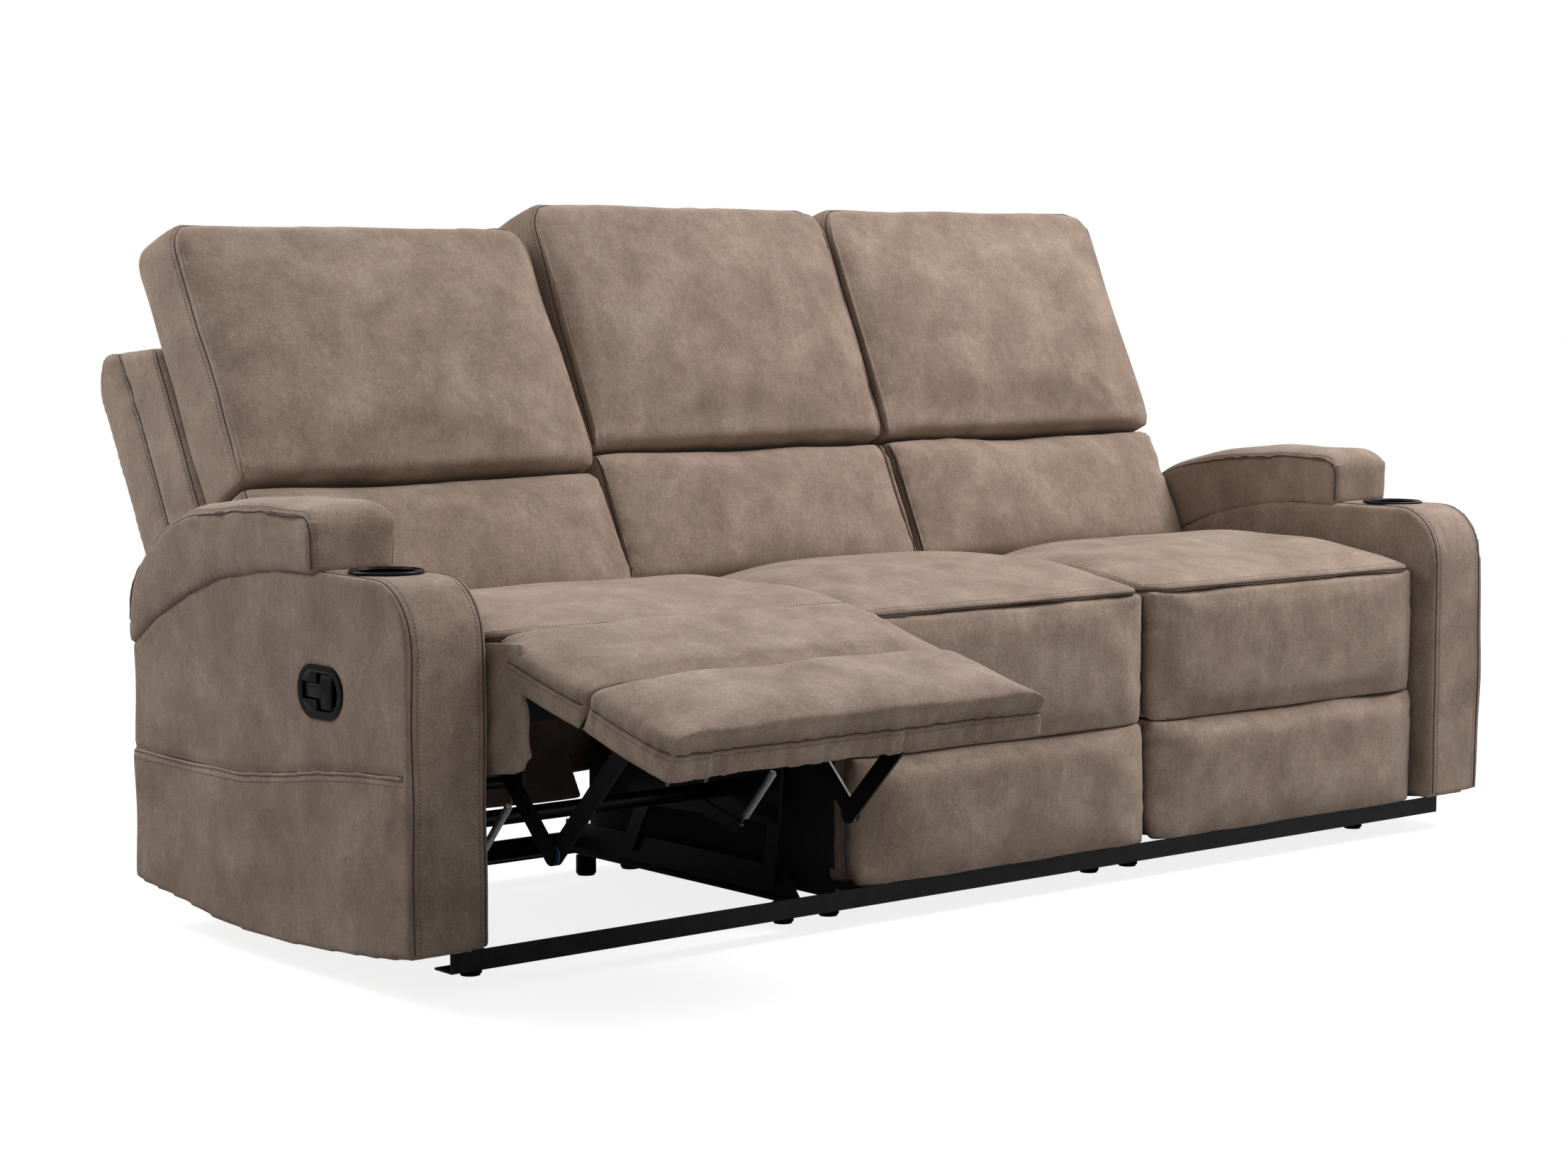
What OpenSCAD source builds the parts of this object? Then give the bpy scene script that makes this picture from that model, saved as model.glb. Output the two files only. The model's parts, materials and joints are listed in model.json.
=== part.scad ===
// Three-seat sofa with a manual recliner at each end and a fixed middle seat.
// Millimetres. +Z is up, +X runs along the sofa, the seats face -Y, and the
// origin lies on the floor under the middle of the whole piece. The seat at
// -X stands with its footrest open, the seat at +X with its footrest closed.
// Side outlines are written as [y, z], with y = 0 at the front of the arms.

/* [Overall] */
// Width of each end seat
end_seat_w = 610; // [580:5:660]
// Width of the middle seat
mid_seat_w = 580; // [550:5:640]
// Gap between a moving seat and what stands beside it
side_gap = 4; // [3:0.5:6]

/* [Arms] */
// Width of one arm
arm_w = 120; // [120:2:150]
// Length of the arm from front to rear
arm_depth = 685; // [660:5:740]
// Height of the flat front part of the arm
arm_h = 519; // [505:2:540]
// Height of the arm at its rear edge
arm_rear_h = 387; // [370:2:410]
// Height of the arm's lower front edge
arm_bottom_z = 61; // [58:1:66]
// Sag of the arm's padded lower edge
arm_bottom_sag = 28; // [10:1:30]
// Radius of the arm's upper front corner
arm_corner_r = 80; // [60:2:90]
// Where the arm's top starts to fall away
arm_fall_y = 200; // [190:5:210]
// Thickness of the upholstered side panels
arm_panel_t = 16; // [14:1:16]
// Thickness of the band that wraps the front, the top and the rear
arm_band_t = 20; // [16:1:24]
// Section of the wood rails in the arm
arm_rail_h = 28; // [22:1:32]
// Depth of the wood posts in the arm
arm_post_d = 36; // [30:1:42]

/* [Arm pads] */
// Front face of the raised pad
pad_front_y = 205; // [200:1:215]
// Height of the pad's crown
pad_top_z = 597; // [585:2:615]
// How far the pad reaches behind the arm
pad_rear_over = 5; // [2:1:10]
// Overhang of the pad on the outer side
pad_side_over = 6; // [0:1:8]
// Radius of the pad's upper front edge
pad_edge_r = 22; // [14:1:26]

/* [Cup holders] */
// Inner radius of the cup
cup_r = 39; // [37:0.5:39.5]
// Wall of the cup
cup_wall = 2.5; // [2:0.5:3]
// Radius of the cup's flange
cup_flange_r = 47.5; // [46:0.5:50]
// Thickness of the flange
cup_flange_t = 3; // [2:0.5:4]
// Depth inside the cup
cup_depth = 70; // [60:1:80]
// Distance of the cup from the front of the arm
cup_y = 136; // [130:1:140]

/* [Release levers] */
// Distance of the bezel's centre from the front of the arm
lever_y = 196; // [180:2:210]
// Height of the bezel's centre
lever_z = 369; // [355:1:372]
// Length of the oval bezel
bezel_w = 104; // [98:1:112]
// Height of the oval bezel
bezel_h = 68; // [62:1:74]
// Depth of the bezel's recess
bezel_depth = 22; // [18:1:26]
// Wall of the bezel
bezel_wall = 3; // [2:0.5:4]
// Width of the flange around the recess
bezel_rim = 4; // [3:0.5:5]
// Length of the lever from its pin to the front of its bar
lever_len = 60; // [54:1:64]
// Width of the lever's bar
lever_bar_w = 15; // [12:1:18]
// Height of the lever's bar
lever_bar_h = 46; // [40:1:48]
// Height of the lever's stem
lever_stem_h = 20; // [16:1:24]
// Thickness of the lever
lever_t = 9; // [7:0.5:10]
// Radius of the lever's pin
lever_pin_r = 3; // [2.5:0.25:4]
// Radius of the release cable
cable_r = 3; // [2.5:0.25:3.5]

/* [Seat cushions] */
// Front of the closed footrest and of the seat cushion
seat_front_y = 22; // [16:1:28]
// Rear end of the seat cushion
seat_rear_y = 570; // [555:1:575]
// Height of the front welt
seat_welt_z = 435; // [433:1:440]
// Height of the cushion's crown
seat_crown_z = 470; // [462:1:478]
// Height of the cushion's rear edge
seat_rear_z = 410; // [400:1:412]
// Height of the cushion's underside
seat_bottom_z = 344; // [342:1:350]
// Depth of the front lip that lies over the footrest
seat_lip_d = 74; // [72:1:78]

/* [Backs] */
// Rake of the backs from the vertical
back_rake = 25; // [22:0.5:27]
// Front of the back at the seat
back_y = 517; // [512:1:525]
// Height at which the front of the back is given
back_z = 430; // [426:1:436]
// Height of the lumbar cushion along the rake
lumbar_h = 203; // [190:1:215]
// Height of the head cushion along the rake
head_h = 406; // [370:2:415]
// Thickness of the back cushions
back_cushion_t = 128; // [110:1:130]
// Thickness of the upholstered back frame
back_frame_t = 190; // [160:2:200]
// Height of the back frame's top
back_frame_top = 823; // [800:1:850]
// Thickness of the lower outside panel
back_panel_t = 29; // [24:1:34]
// Lowest edge of the outside panel
back_panel_z = 130; // [124:1:200]
// Radius of the upper rear edge
back_edge_r = 40; // [25:1:50]
// Radius of the head cushion's upper corners
head_corner_r = 60; // [40:2:80]

/* [Footrest] */
// Height of the footrest's hinge line
hinge_z = 430; // [426:1:432]
// Distance of the hinge line behind the front of the closed footrest
hinge_in = 10; // [8:1:14]
// Length of the calf pad
calf_len = 187; // [170:1:195]
// Length of the foot pad
foot_len = 171; // [160:1:173]
// Thickness of the calf pad
calf_pad_t = 48; // [40:1:50]
// How far the foot pad stands proud of the calf pad
foot_pad_proud = 6; // [0:1:8]
// Thickness of the ottoman board
ottoman_board_t = 12; // [9:1:15]
// Angle by which the footrest opens from its closed place
open_angle = 72; // [60:1:80]

/* [Seat shift] */
// Angle by which the seat tips back while the footrest opens
tilt = 4; // [0:0.5:5]
// Length of the front base links
base_link_len = 90; // [80:1:95]
// Lean of the front base links with the footrest closed
lean_closed = 26; // [20:1:28]
// Lean of the front base links with the footrest open
lean_open = -8; // [-12:1:0]
// Distance of the front base pivot from the front
base_pivot_y = 150; // [140:1:160]
// Height of the base pivots
base_pivot_z = 62; // [58:1:64]
// Rear pivot of the side plate, distance from the front
rear_pivot_y = 480; // [460:1:500]
// Rear pivot of the side plate, height
rear_pivot_z = 155; // [150:1:160]

/* [Linkage] */
// Distance of the bracket's pivot down the footrest
bracket_pivot_a = 215; // [205:1:225]
// Distance of the bracket's pivot behind the hinge line
bracket_pivot_b = 72; // [68:1:76]
// Upper pivot of the swing link on the side plate, distance from the front
swing_pivot_y = 161; // [156:1:166]
// Upper pivot of the swing link on the side plate, height
swing_pivot_z = 327; // [324:1:328]
// Place of the links' joint with the footrest open, distance from the front
knee_open_y = 7; // [0:1:14]
// Place of the links' joint with the footrest open, height
knee_open_z = 154; // [150:1:158]
// Recline pivot, distance from the front
recline_y = 640; // [636:1:644]
// Recline pivot, height
recline_z = 300; // [296:1:302]
// Width of the links
link_w = 26; // [22:1:28]
// Thickness of the links and plates
link_t = 4; // [3:0.5:4.5]
// Distance between two neighbouring link planes
link_pitch = 7; // [7:0.5:8]
// Radius of the rivets
rivet_r = 5; // [4:0.25:6]
// Running clearance of a rivet in its bore
rivet_play = 0.06; // [0.03:0.01:0.1]
// Radius of the cross tube
tube_r = 11; // [9:0.5:12]
// Distance of the cross tube behind the closed joint of the links
tube_behind = 28; // [26:1:34]
// Height of the cross tube above the closed joint of the links
tube_above = 22; // [20:1:28]
// Distance of the release shaft in front of the cross tube
shaft_before = 30; // [24:1:34]
// Height of the release shaft above the cross tube
shaft_above = 50; // [46:1:56]
// Distance of the springs' upper hooks in front of the swing pivot
hook_top_before = 38; // [34:1:42]
// Depth of the springs' upper hooks below the swing pivot
hook_top_below = 110; // [106:1:114]
// Distance of the springs' lower hooks in front of the cross tube
hook_low_before = 117; // [112:1:122]
// Depth of the springs' lower hooks below the cross tube
hook_low_below = 38; // [34:1:42]
// Length of the ottoman brackets above their pivots
bracket_up = 60; // [40:2:70]
// Length of the ottoman brackets below their pivots
bracket_down = 110; // [90:2:120]
// Radius of the release shaft
shaft_r = 8; // [6:0.5:9]
// Length of the release shaft
shaft_len = 150; // [120:5:180]
// Radius of the return springs
coil_r = 5; // [4:0.5:6]

/* [Base] */
// Inset of the side rails' web from the edge of an end seat's cushion
rail_inset = 35; // [31:1:37]
// Thickness of the angle steel
angle_t = 3; // [2.5:0.5:3.5]
// Underside of the side rails, which is the height of the feet
foot_h = 32; // [30:1:34]
// Height of the side rails
side_rail_h = 43; // [40:1:46]
// Top of the front and rear cross rails
cross_rail_top = 55; // [52:1:56]
// Width of the cross rails' lower flange
cross_flange_w = 38; // [30:1:44]
// Slant of the side rails' front end, where the footrest hangs close
rail_slant = 36; // [30:1:40]
// How far the cross rails reach under the arms
cross_rail_over = 45; // [40:1:60]
// Rear end of the base
base_rear_y = 640; // [636:1:644]
// Radius of the glide feet
foot_r = 15; // [12:1:18]
// Distance of the front feet from the front
front_foot_y = 118; // [110:2:130]
// Distance of the rear feet from the front
rear_foot_y = 578; // [560:2:600]

/* [Seat frames] */
// Height of the seat frame's rails
frame_rail_h = 28; // [24:1:30]
// Depth of the seat frame's cross rails
frame_rail_d = 20; // [18:1:24]
// Thickness of the fabric wings beside the seat frame
wing_t = 19; // [17:1:21]
// Wire thickness of the sinuous springs
wire_t = 4; // [3:0.5:4]
// Number of sinuous springs in a seat
spring_n = 5; // [4:1:6]
// Depth of the fabric side wings below the cushion
wing_drop = 70; // [50:1:90]
// Thickness of the black side liners
liner_t = 2; // [1.5:0.5:3]
// Thickness of the middle seat's boards
board_t = 18; // [15:1:20]

/* [Hidden] */
$fn = 48;

FABRIC = [0.52, 0.44, 0.38];
BLACK = [0.06, 0.06, 0.06];
ZINC = [0.7, 0.7, 0.72];
WOOD = [0.76, 0.62, 0.42];
LEFT = -1;
RIGHT = 1;
seat_gap = 0.3;     // clearance of a moving face on its neighbour
coil_clear = 13;    // between the brackets and the middle of the return springs
coil_tab_t = 4;     // thickness of the tabs that hold the return springs

// Places along x
end_x = (mid_seat_w + end_seat_w) / 2;
arm_in = mid_seat_w / 2 + end_seat_w;
arm_out = arm_in + arm_w;
end_half = end_seat_w / 2 - side_gap;
mid_half = mid_seat_w / 2 - side_gap;
rail_u = end_half - rail_inset;
frame_u = end_half - wing_t;

// Link planes, as distances from the middle of an end seat: [inner, outer]
plane_base_link = [rail_u - link_pitch, rail_u - link_pitch + link_t];
plane_plate = [plane_base_link[0] - link_pitch, plane_base_link[0] - link_pitch + link_t];
plane_swing = [plane_plate[0] - link_pitch - 2, plane_plate[0] - link_pitch - 2 + link_t];
plane_long = [plane_swing[0] - link_pitch, plane_swing[0] - link_pitch + link_t];
plane_bracket = [plane_long[0] - link_pitch, plane_long[0] - link_pitch + link_t];
plane_coil = plane_bracket[0] - coil_clear;
coil_tab = [plane_coil - 2 * coil_tab_t, plane_coil - coil_tab_t];
head_r = rivet_r + 4;
head_t = 2.3;

// Plane geometry in the side view
function turn(p, c, a) = [
    c[0] + (p[0] - c[0]) * cos(a) - (p[1] - c[1]) * sin(a),
    c[1] + (p[0] - c[0]) * sin(a) + (p[1] - c[1]) * cos(a)];
function span(p, q) = norm(q - p);
function slope(p, q) = atan2(q[1] - p[1], q[0] - p[0]);
function arc(c, r, a0, a1, n = 8) =
    [for (i = [0:n]) c + r * [cos(a0 + (a1 - a0) * i / n), sin(a0 + (a1 - a0) * i / n)]];
function reversed(v) = [for (i = [len(v) - 1:-1:0]) v[i]];
// Where circles of radius rp about p and rq about q meet, on the side given by way
function meet(p, rp, q, rq, way) =
    let (d = span(p, q), along = (rp * rp - rq * rq + d * d) / (2 * d),
         off = sqrt(max(0, rp * rp - along * along)), u = (q - p) / d)
    p + along * u + way * off * [-u[1], u[0]];
// Rectangle from low to high with corner radii [low left, low right, top right, top left]
function soft_box(low, high, r) = concat(
    arc([low[0] + r[0], low[1] + r[0]], r[0], 180, 270),
    arc([high[0] - r[1], low[1] + r[1]], r[1], 270, 360),
    arc([high[0] - r[2], high[1] - r[2]], r[2], 0, 90),
    arc([low[0] + r[3], high[1] - r[3]], r[3], 90, 180));

// Pivots of the seat unit, in the place the seat has with its footrest closed
hinge = [seat_front_y + hinge_in, hinge_z];
swing_pivot = [swing_pivot_y, swing_pivot_z];
recline_pivot = [recline_y, recline_z];
rear_top_closed = [rear_pivot_y, rear_pivot_z];
base_front = [base_pivot_y, base_pivot_z];
front_top_closed = base_front + base_link_len * [sin(lean_closed), cos(lean_closed)];
front_top_open = base_front + base_link_len * [sin(lean_open), cos(lean_open)];
function opened(p) = turn(p, front_top_closed, -tilt) + front_top_open - front_top_closed;
rear_top_open = opened(rear_top_closed);
// The rear base pivot is as far from the rear pivot's open place as from its closed one
chord = rear_top_open - rear_top_closed;
chord_mid = (rear_top_open + rear_top_closed) / 2;
base_rear = [chord_mid[0] - chord[1] * (base_pivot_z - chord_mid[1]) / chord[0], base_pivot_z];

// Swing link and long link
bracket_closed = hinge + [bracket_pivot_b, -bracket_pivot_a];
bracket_open = turn(bracket_closed, hinge, -open_angle);
knee_open = [knee_open_y, knee_open_z];
swing_len = span(swing_pivot, knee_open);
long_len = span(knee_open, bracket_open);
knee_closed = meet(bracket_closed, long_len, swing_pivot, swing_len, -1);

// Cross tube and release shaft, which lie behind the sweep of the links
tube_at = knee_closed + [tube_behind, tube_above];
shaft_at = tube_at + [-shaft_before, shaft_above];
coil_top = swing_pivot - [hook_top_before, hook_top_below];
coil_low = tube_at - [hook_low_before, hook_low_below];

// Footrest, measured from the hinge line: y behind it, z above it
foot_front = -hinge_in + 2;
board_front = foot_front + calf_pad_t;
board_back = board_front + ottoman_board_t;
calf_top = -10;
calf_end = calf_top - calf_len;
foot_end = calf_end - 2 - foot_len;
foot_low_open = opened(turn(hinge + [foot_front, foot_end], hinge, -open_angle));

// Backs: [t, s] is depth behind the front face and height along the rake
back_base = [back_y, back_z];
lumbar_s0 = 20;
lumbar_s1 = lumbar_s0 + lumbar_h;
head_s0 = lumbar_s1 + seat_gap;
head_s1 = head_s0 + head_h;
frame_t0 = back_cushion_t + seat_gap;
frame_t1 = frame_t0 + back_frame_t;
function on_rake(t, z) = [back_y + (t + (z - back_z) * sin(back_rake)) / cos(back_rake), z];
function rake_pt(t, s) = back_base + [s * sin(back_rake) + t * cos(back_rake),
                                      s * cos(back_rake) - t * sin(back_rake)];
back_step_z = 400;      // underside of the thick part of the back frame
back_rear = on_rake(frame_t1, back_frame_top - back_edge_r * 0.8);
bracket_w = 36;
bracket_s = 250;
bracket_end = rake_pt((recline_y - back_y) * cos(back_rake)
                      - (recline_z - back_z) * sin(back_rake), bracket_s);

// The whole piece is centred between its front-most and rear-most points
y_mid = (back_rear[0] + foot_low_open[0]) / 2;

module along_x(x0, x1)
    translate([x0, 0, 0]) rotate([90, 0, 90]) linear_extrude(x1 - x0) children();
module both_sides() {
    children();
    mirror([1, 0, 0]) children();
}
module rod_x(p, r, x0, x1)
    translate([x0, p[0], p[1]]) rotate([0, 90, 0]) cylinder(r = r, h = x1 - x0);
module strap(p, q, w)
    translate(p) rotate(slope(p, q))
        polygon(concat(arc([0, 0], w / 2, 90, 270, 12), arc([span(p, q), 0], w / 2, -90, 90, 12)));
module stadium(w, h) {
    for (s = [-1, 1]) translate([s * (w - h) / 2, 0]) circle(d = h);
    square([w - h, h], center = true);
}
module block(x0, x1, y0, y1, z0, z1)
    translate([x0, y0, z0]) cube([x1 - x0, y1 - y0, z1 - z0]);
// Tube of radius r swept along a list of points, a ring of sides points at each
function unit(v) = v / norm(v);
module tube_path(points, r, sides = 8) {
    last = len(points) - 1;
    aside = [0.31, 0.9, 0.17];      // never along the tube
    rings = [for (i = [0:last]) let (
        ahead = unit(points[min(i + 1, last)] - points[min(i, last - 1)]),
        behind = unit(points[max(i, 1)] - points[max(i - 1, 0)]),
        u = unit(cross(unit(ahead + behind), aside)), v = cross(unit(ahead + behind), u))
        for (k = [0:sides - 1]) points[i] + r * (cos(360 * k / sides) * u + sin(360 * k / sides) * v)];
    walls = [for (i = [0:last - 1]) for (k = [0:sides - 1]) let (n = (k + 1) % sides)
        [i * sides + k, i * sides + n, (i + 1) * sides + n, (i + 1) * sides + k]];
    polyhedron(rings, concat(
        [[for (k = [sides - 1:-1:0]) k]], walls, [[for (k = [0:sides - 1]) last * sides + k]]));
}

// Places: the sofa, one end seat's base, its seat unit, its footrest
module sofa() translate([0, -y_mid, 0]) children();
module base_of(side) sofa() translate([side * end_x, 0, 0]) children();
module seat_of(side)
    base_of(side)
        if (side == LEFT)
            translate([0, front_top_open[0], front_top_open[1]]) rotate([-tilt, 0, 0])
                translate([0, -front_top_closed[0], -front_top_closed[1]]) children();
        else
            children();
module footrest_of(side)
    seat_of(side) translate([0, hinge[0], hinge[1]])
        rotate([side == LEFT ? -open_angle : 0, 0, 0]) children();
module arm_of(side) sofa() mirror([side == LEFT ? 1 : 0, 0, 0]) children();

// Base
module cross_rail(x0, x1) {
    block(x0, x1, seat_front_y, seat_front_y + angle_t, foot_h - angle_t, cross_rail_top);
    block(x0, x1, seat_front_y, seat_front_y + cross_flange_w, foot_h - angle_t, foot_h);
}
module rear_rail(x0, x1) {
    block(x0, x1, base_rear_y, base_rear_y + angle_t, foot_h - angle_t, cross_rail_top);
    block(x0, x1, base_rear_y - cross_flange_w, base_rear_y + angle_t, foot_h - angle_t, foot_h);
}
module cross_rails() color(BLACK) sofa() {
    half = mid_seat_w / 2;
    outer = arm_in + cross_rail_over;
    for (span_x = [[-outer, -half - seat_gap], [-half, half], [half + seat_gap, outer]]) {
        cross_rail(span_x[0], span_x[1]);
        rear_rail(span_x[0], span_x[1]);
    }
}
// Web positions of the middle seat's side rails
mid_rail_u = mid_half - liner_t - board_t - angle_t;
foot_inset = 8;         // of a foot's middle from the outside of a web
footrest_clear = 6;     // between the closed footrest and the rails behind it
// The web starts behind the closed footrest, the flange runs on below it
module side_rail(u) {
    web_y = hinge[0] + board_back + footrest_clear;
    web_top = foot_h + side_rail_h;
    along_x(u, u + angle_t) polygon([
        [web_y, foot_h], [base_rear_y, foot_h], [base_rear_y, web_top], [web_y + rail_slant, web_top]]);
    block(u - 21, u + angle_t, seat_front_y + angle_t + 1, base_rear_y, foot_h, foot_h + angle_t);
}
module side_rails() color(BLACK) {
    for (side = [LEFT, RIGHT])
        base_of(side) both_sides() difference() {
            side_rail(rail_u);
            for (p = [base_front, base_rear])
                rod_x(p, rivet_r + rivet_play, rail_u - 1, rail_u + angle_t + 1);
        }
    sofa() both_sides() side_rail(mid_rail_u);
}
module glide_foot() {
    cylinder(r = foot_r * 0.86, h = 3);
    translate([0, 0, 3]) cylinder(r = foot_r, h = foot_h - angle_t - 3);
    translate([0, 0, foot_h - angle_t]) cylinder(r = foot_r * 0.6, h = angle_t);
}
module glide_feet() color(BLACK) {
    for (y = [front_foot_y, rear_foot_y]) {
        for (side = [LEFT, RIGHT])
            base_of(side) both_sides() translate([rail_u - foot_inset, y, 0]) glide_foot();
        sofa() both_sides() translate([mid_rail_u - foot_inset, y, 0]) glide_foot();
    }
}

// Arms, modelled at +X and mirrored for -X
function arm_low(y) = arm_bottom_z + 4 * y / arm_depth - arm_bottom_sag * sin(180 * y / arm_depth);
function arm_top(y) = arm_h - (arm_h - arm_rear_h)
    * pow(max(0, y - arm_fall_y) / (arm_depth - arm_fall_y), 2.5);
function steps(a, b, n) = [for (i = [0:n]) a + (b - a) * i / n];
// Front and top edge of the arm, moved inwards by off, up to y_end
function arm_skin(off, y_end) = concat(
    [[off, arm_low(off)]],
    arc([arm_corner_r, arm_h - arm_corner_r], arm_corner_r - off, 180, 90),
    [for (y = steps(arm_fall_y, y_end, 14)) [y, arm_top(y) - off]]);
function arm_outline() = concat(
    arm_skin(0, arm_depth),
    [for (y = steps(arm_depth, arm_depth / 12, 11)) [y, arm_low(y)]]);
lever_cut_w = bezel_w - 2 * bezel_rim;
lever_cut_h = bezel_h - 2 * bezel_rim;
cable_cross = [300, 112];
module at_lever() translate([0, lever_y, lever_z]) children();
module arm_outer_panel(side) color(FABRIC) arm_of(side) difference() {
    along_x(arm_out - arm_panel_t, arm_out) polygon(arm_outline());
    at_lever() along_x(arm_out - arm_panel_t - 1, arm_out + 1)
        stadium(lever_cut_w + 2 * seat_gap, lever_cut_h + 2 * seat_gap);
}
module left_arm_outer_panel() arm_outer_panel(LEFT);
module right_arm_outer_panel() arm_outer_panel(RIGHT);
module arm_inner_panels() color(FABRIC) for (side = [LEFT, RIGHT]) arm_of(side) difference() {
    along_x(arm_in, arm_in + arm_panel_t) polygon(arm_outline());
    rod_x(cable_cross, cable_r + seat_gap, arm_in - 1, arm_in + arm_panel_t + 1);
}
module arm_bands() color(FABRIC) for (side = [LEFT, RIGHT]) arm_of(side) difference() {
    inner_end = arm_depth - arm_band_t;
    along_x(arm_in + arm_panel_t, arm_out - arm_panel_t)
        polygon(concat(arm_skin(0, arm_depth), [[arm_depth, arm_low(arm_depth)], [inner_end, arm_low(inner_end)]],
                       reversed(arm_skin(arm_band_t, inner_end))));
    translate([(arm_in + arm_out) / 2, cup_y, arm_h - arm_band_t - 1])
        cylinder(r = cup_r + cup_wall + seat_gap, h = arm_band_t + 2);
}
// The pad's top is a rounded quarter that ends just behind the arm
function pad_outline() =
    let (foot = arm_rear_h + 3, rise = pad_top_z - foot, y0 = pad_front_y + 2 * pad_edge_r,
         reach = arm_depth + pad_rear_over - y0, n = 16)
    concat(
        [[pad_front_y, arm_top(pad_front_y) + seat_gap]],
        arc([pad_front_y + pad_edge_r, pad_top_z - pad_edge_r], pad_edge_r, 180, 90),
        [for (i = [0:n]) let (a = 90 * i / n)
            [y0 + reach * pow(sin(a), 2 / 2.8), foot + rise * pow(cos(a), 2 / 2.8)]],
        [for (y = steps(arm_depth, pad_front_y + 20, 12)) [y, arm_top(y) + seat_gap]]);
module arm_pad(side) color(FABRIC) arm_of(side)
    along_x(arm_in, arm_out + pad_side_over) polygon(pad_outline());
module left_arm_pad() arm_pad(LEFT);
module right_arm_pad() arm_pad(RIGHT);
module arm_frames() color(WOOD) for (side = [LEFT, RIGHT]) arm_of(side) {
    x0 = arm_in + arm_panel_t;
    x1 = arm_out - arm_panel_t;
    post_y = arm_band_t + seat_gap;
    end_y = arm_depth - arm_band_t - seat_gap;
    low = cross_rail_top;
    rail_top = arm_top(end_y) - arm_band_t - 4;
    post_low = low + arm_rail_h + seat_gap;
    rail_low = rail_top - arm_rail_h;
    block(x0, x1, post_y, end_y, low, low + arm_rail_h);
    for (y = [post_y, cable_cross[0] + 30, end_y - arm_post_d])
        block(x0, x1, y, y + arm_post_d, post_low, rail_low);
    block(x0, x1, lever_y + bezel_w / 2, end_y, rail_low + seat_gap, rail_top);
}
module cup_holders() color(BLACK) for (side = [LEFT, RIGHT]) arm_of(side)
    translate([(arm_in + arm_out) / 2, cup_y, arm_h]) difference() {
        union() {
            cylinder(r = cup_flange_r, h = cup_flange_t);
            translate([0, 0, cup_flange_t - cup_depth - cup_wall])
                cylinder(r = cup_r + cup_wall, h = cup_depth + cup_wall);
        }
        translate([0, 0, cup_flange_t - cup_depth]) cylinder(r = cup_r, h = cup_depth + 1);
    }
module lever_bezels() color(BLACK) for (side = [LEFT, RIGHT]) arm_of(side) at_lever() difference() {
    union() {
        along_x(arm_out, arm_out + bezel_wall) stadium(bezel_w, bezel_h);
        along_x(arm_out - bezel_depth - bezel_wall, arm_out) stadium(lever_cut_w, lever_cut_h);
    }
    along_x(arm_out - bezel_depth, arm_out + bezel_wall + 1)
        stadium(lever_cut_w - 2 * bezel_wall, lever_cut_h - 2 * bezel_wall);
}
lever_pin_y = lever_cut_w / 2 - bezel_wall - lever_stem_h / 2 + 1;
module release_lever(side) color(BLACK) arm_of(side) at_lever() translate([arm_out - lever_t, 0, 0]) {
    // The pin spans the rounded end of the recess
    end_r = lever_cut_h / 2 - bezel_wall;
    end_y = lever_pin_y + lever_pin_r - (lever_cut_w - lever_cut_h) / 2;
    pin_half = sqrt(end_r * end_r - end_y * end_y) - seat_gap;
    bar_front = lever_pin_y - lever_len;
    block(0, lever_t, bar_front, bar_front + lever_bar_w, -lever_bar_h / 2, lever_bar_h / 2);
    block(0, lever_t, bar_front + lever_bar_w, lever_pin_y, -lever_stem_h / 2, lever_stem_h / 2);
    translate([lever_t / 2, lever_pin_y, -lever_stem_h / 2]) cylinder(d = lever_t, h = lever_stem_h);
    translate([lever_t / 2, lever_pin_y, -pin_half]) cylinder(r = lever_pin_r, h = 2 * pin_half);
}
module left_release_lever() release_lever(LEFT);
module right_release_lever() release_lever(RIGHT);
module release_cables() color(BLACK) for (side = [LEFT, RIGHT]) arm_of(side) {
    shell = arm_out - bezel_depth - bezel_wall;
    web = end_x + rail_u + angle_t;
    web_z = foot_h + side_rail_h - 15;
    tube_path([
        [shell, lever_y + 15, lever_z],
        [shell - 14, lever_y + 15, lever_z],
        [shell - 24, lever_y + 24, lever_z - 16],
        [shell - 28, lever_y + 40, lever_z - 60],
        [shell - 28, cable_cross[0] - 14, cable_cross[1] + 50],
        [shell - 32, cable_cross[0], cable_cross[1] + 14],
        [shell - 46, cable_cross[0], cable_cross[1]],
        [arm_in - 14, cable_cross[0], cable_cross[1]],
        [web + 14, cable_cross[0], cable_cross[1] - 9],
        [web + 14, cable_cross[0], web_z + 8],
        [web + 8, cable_cross[0], web_z],
        [web, cable_cross[0], web_z]], cable_r);
}

// Upholstery shared by the three seats
function seat_outline() =
    let (peak_y = seat_front_y + (seat_rear_y - seat_front_y) * 0.43,
         fall = seat_crown_z - seat_rear_z, rise = seat_crown_z - seat_welt_z, n = 10)
    concat(
        [[seat_front_y, seat_welt_z - 3]],
        [for (i = [0:n]) [seat_front_y + (peak_y - seat_front_y) * i / n,
                          seat_welt_z + rise * pow(sin(90 * i / n), 0.7)]],
        [for (i = [1:n]) [peak_y + (seat_rear_y - peak_y) * i / n, seat_crown_z - fall * pow(i / n, 2.5)]],
        [[seat_rear_y, seat_bottom_z], [seat_front_y + seat_lip_d, seat_bottom_z],
         [seat_front_y + seat_lip_d, seat_welt_z - 3]]);
module seat_cushion(half) along_x(-half, half) polygon(seat_outline());
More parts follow.
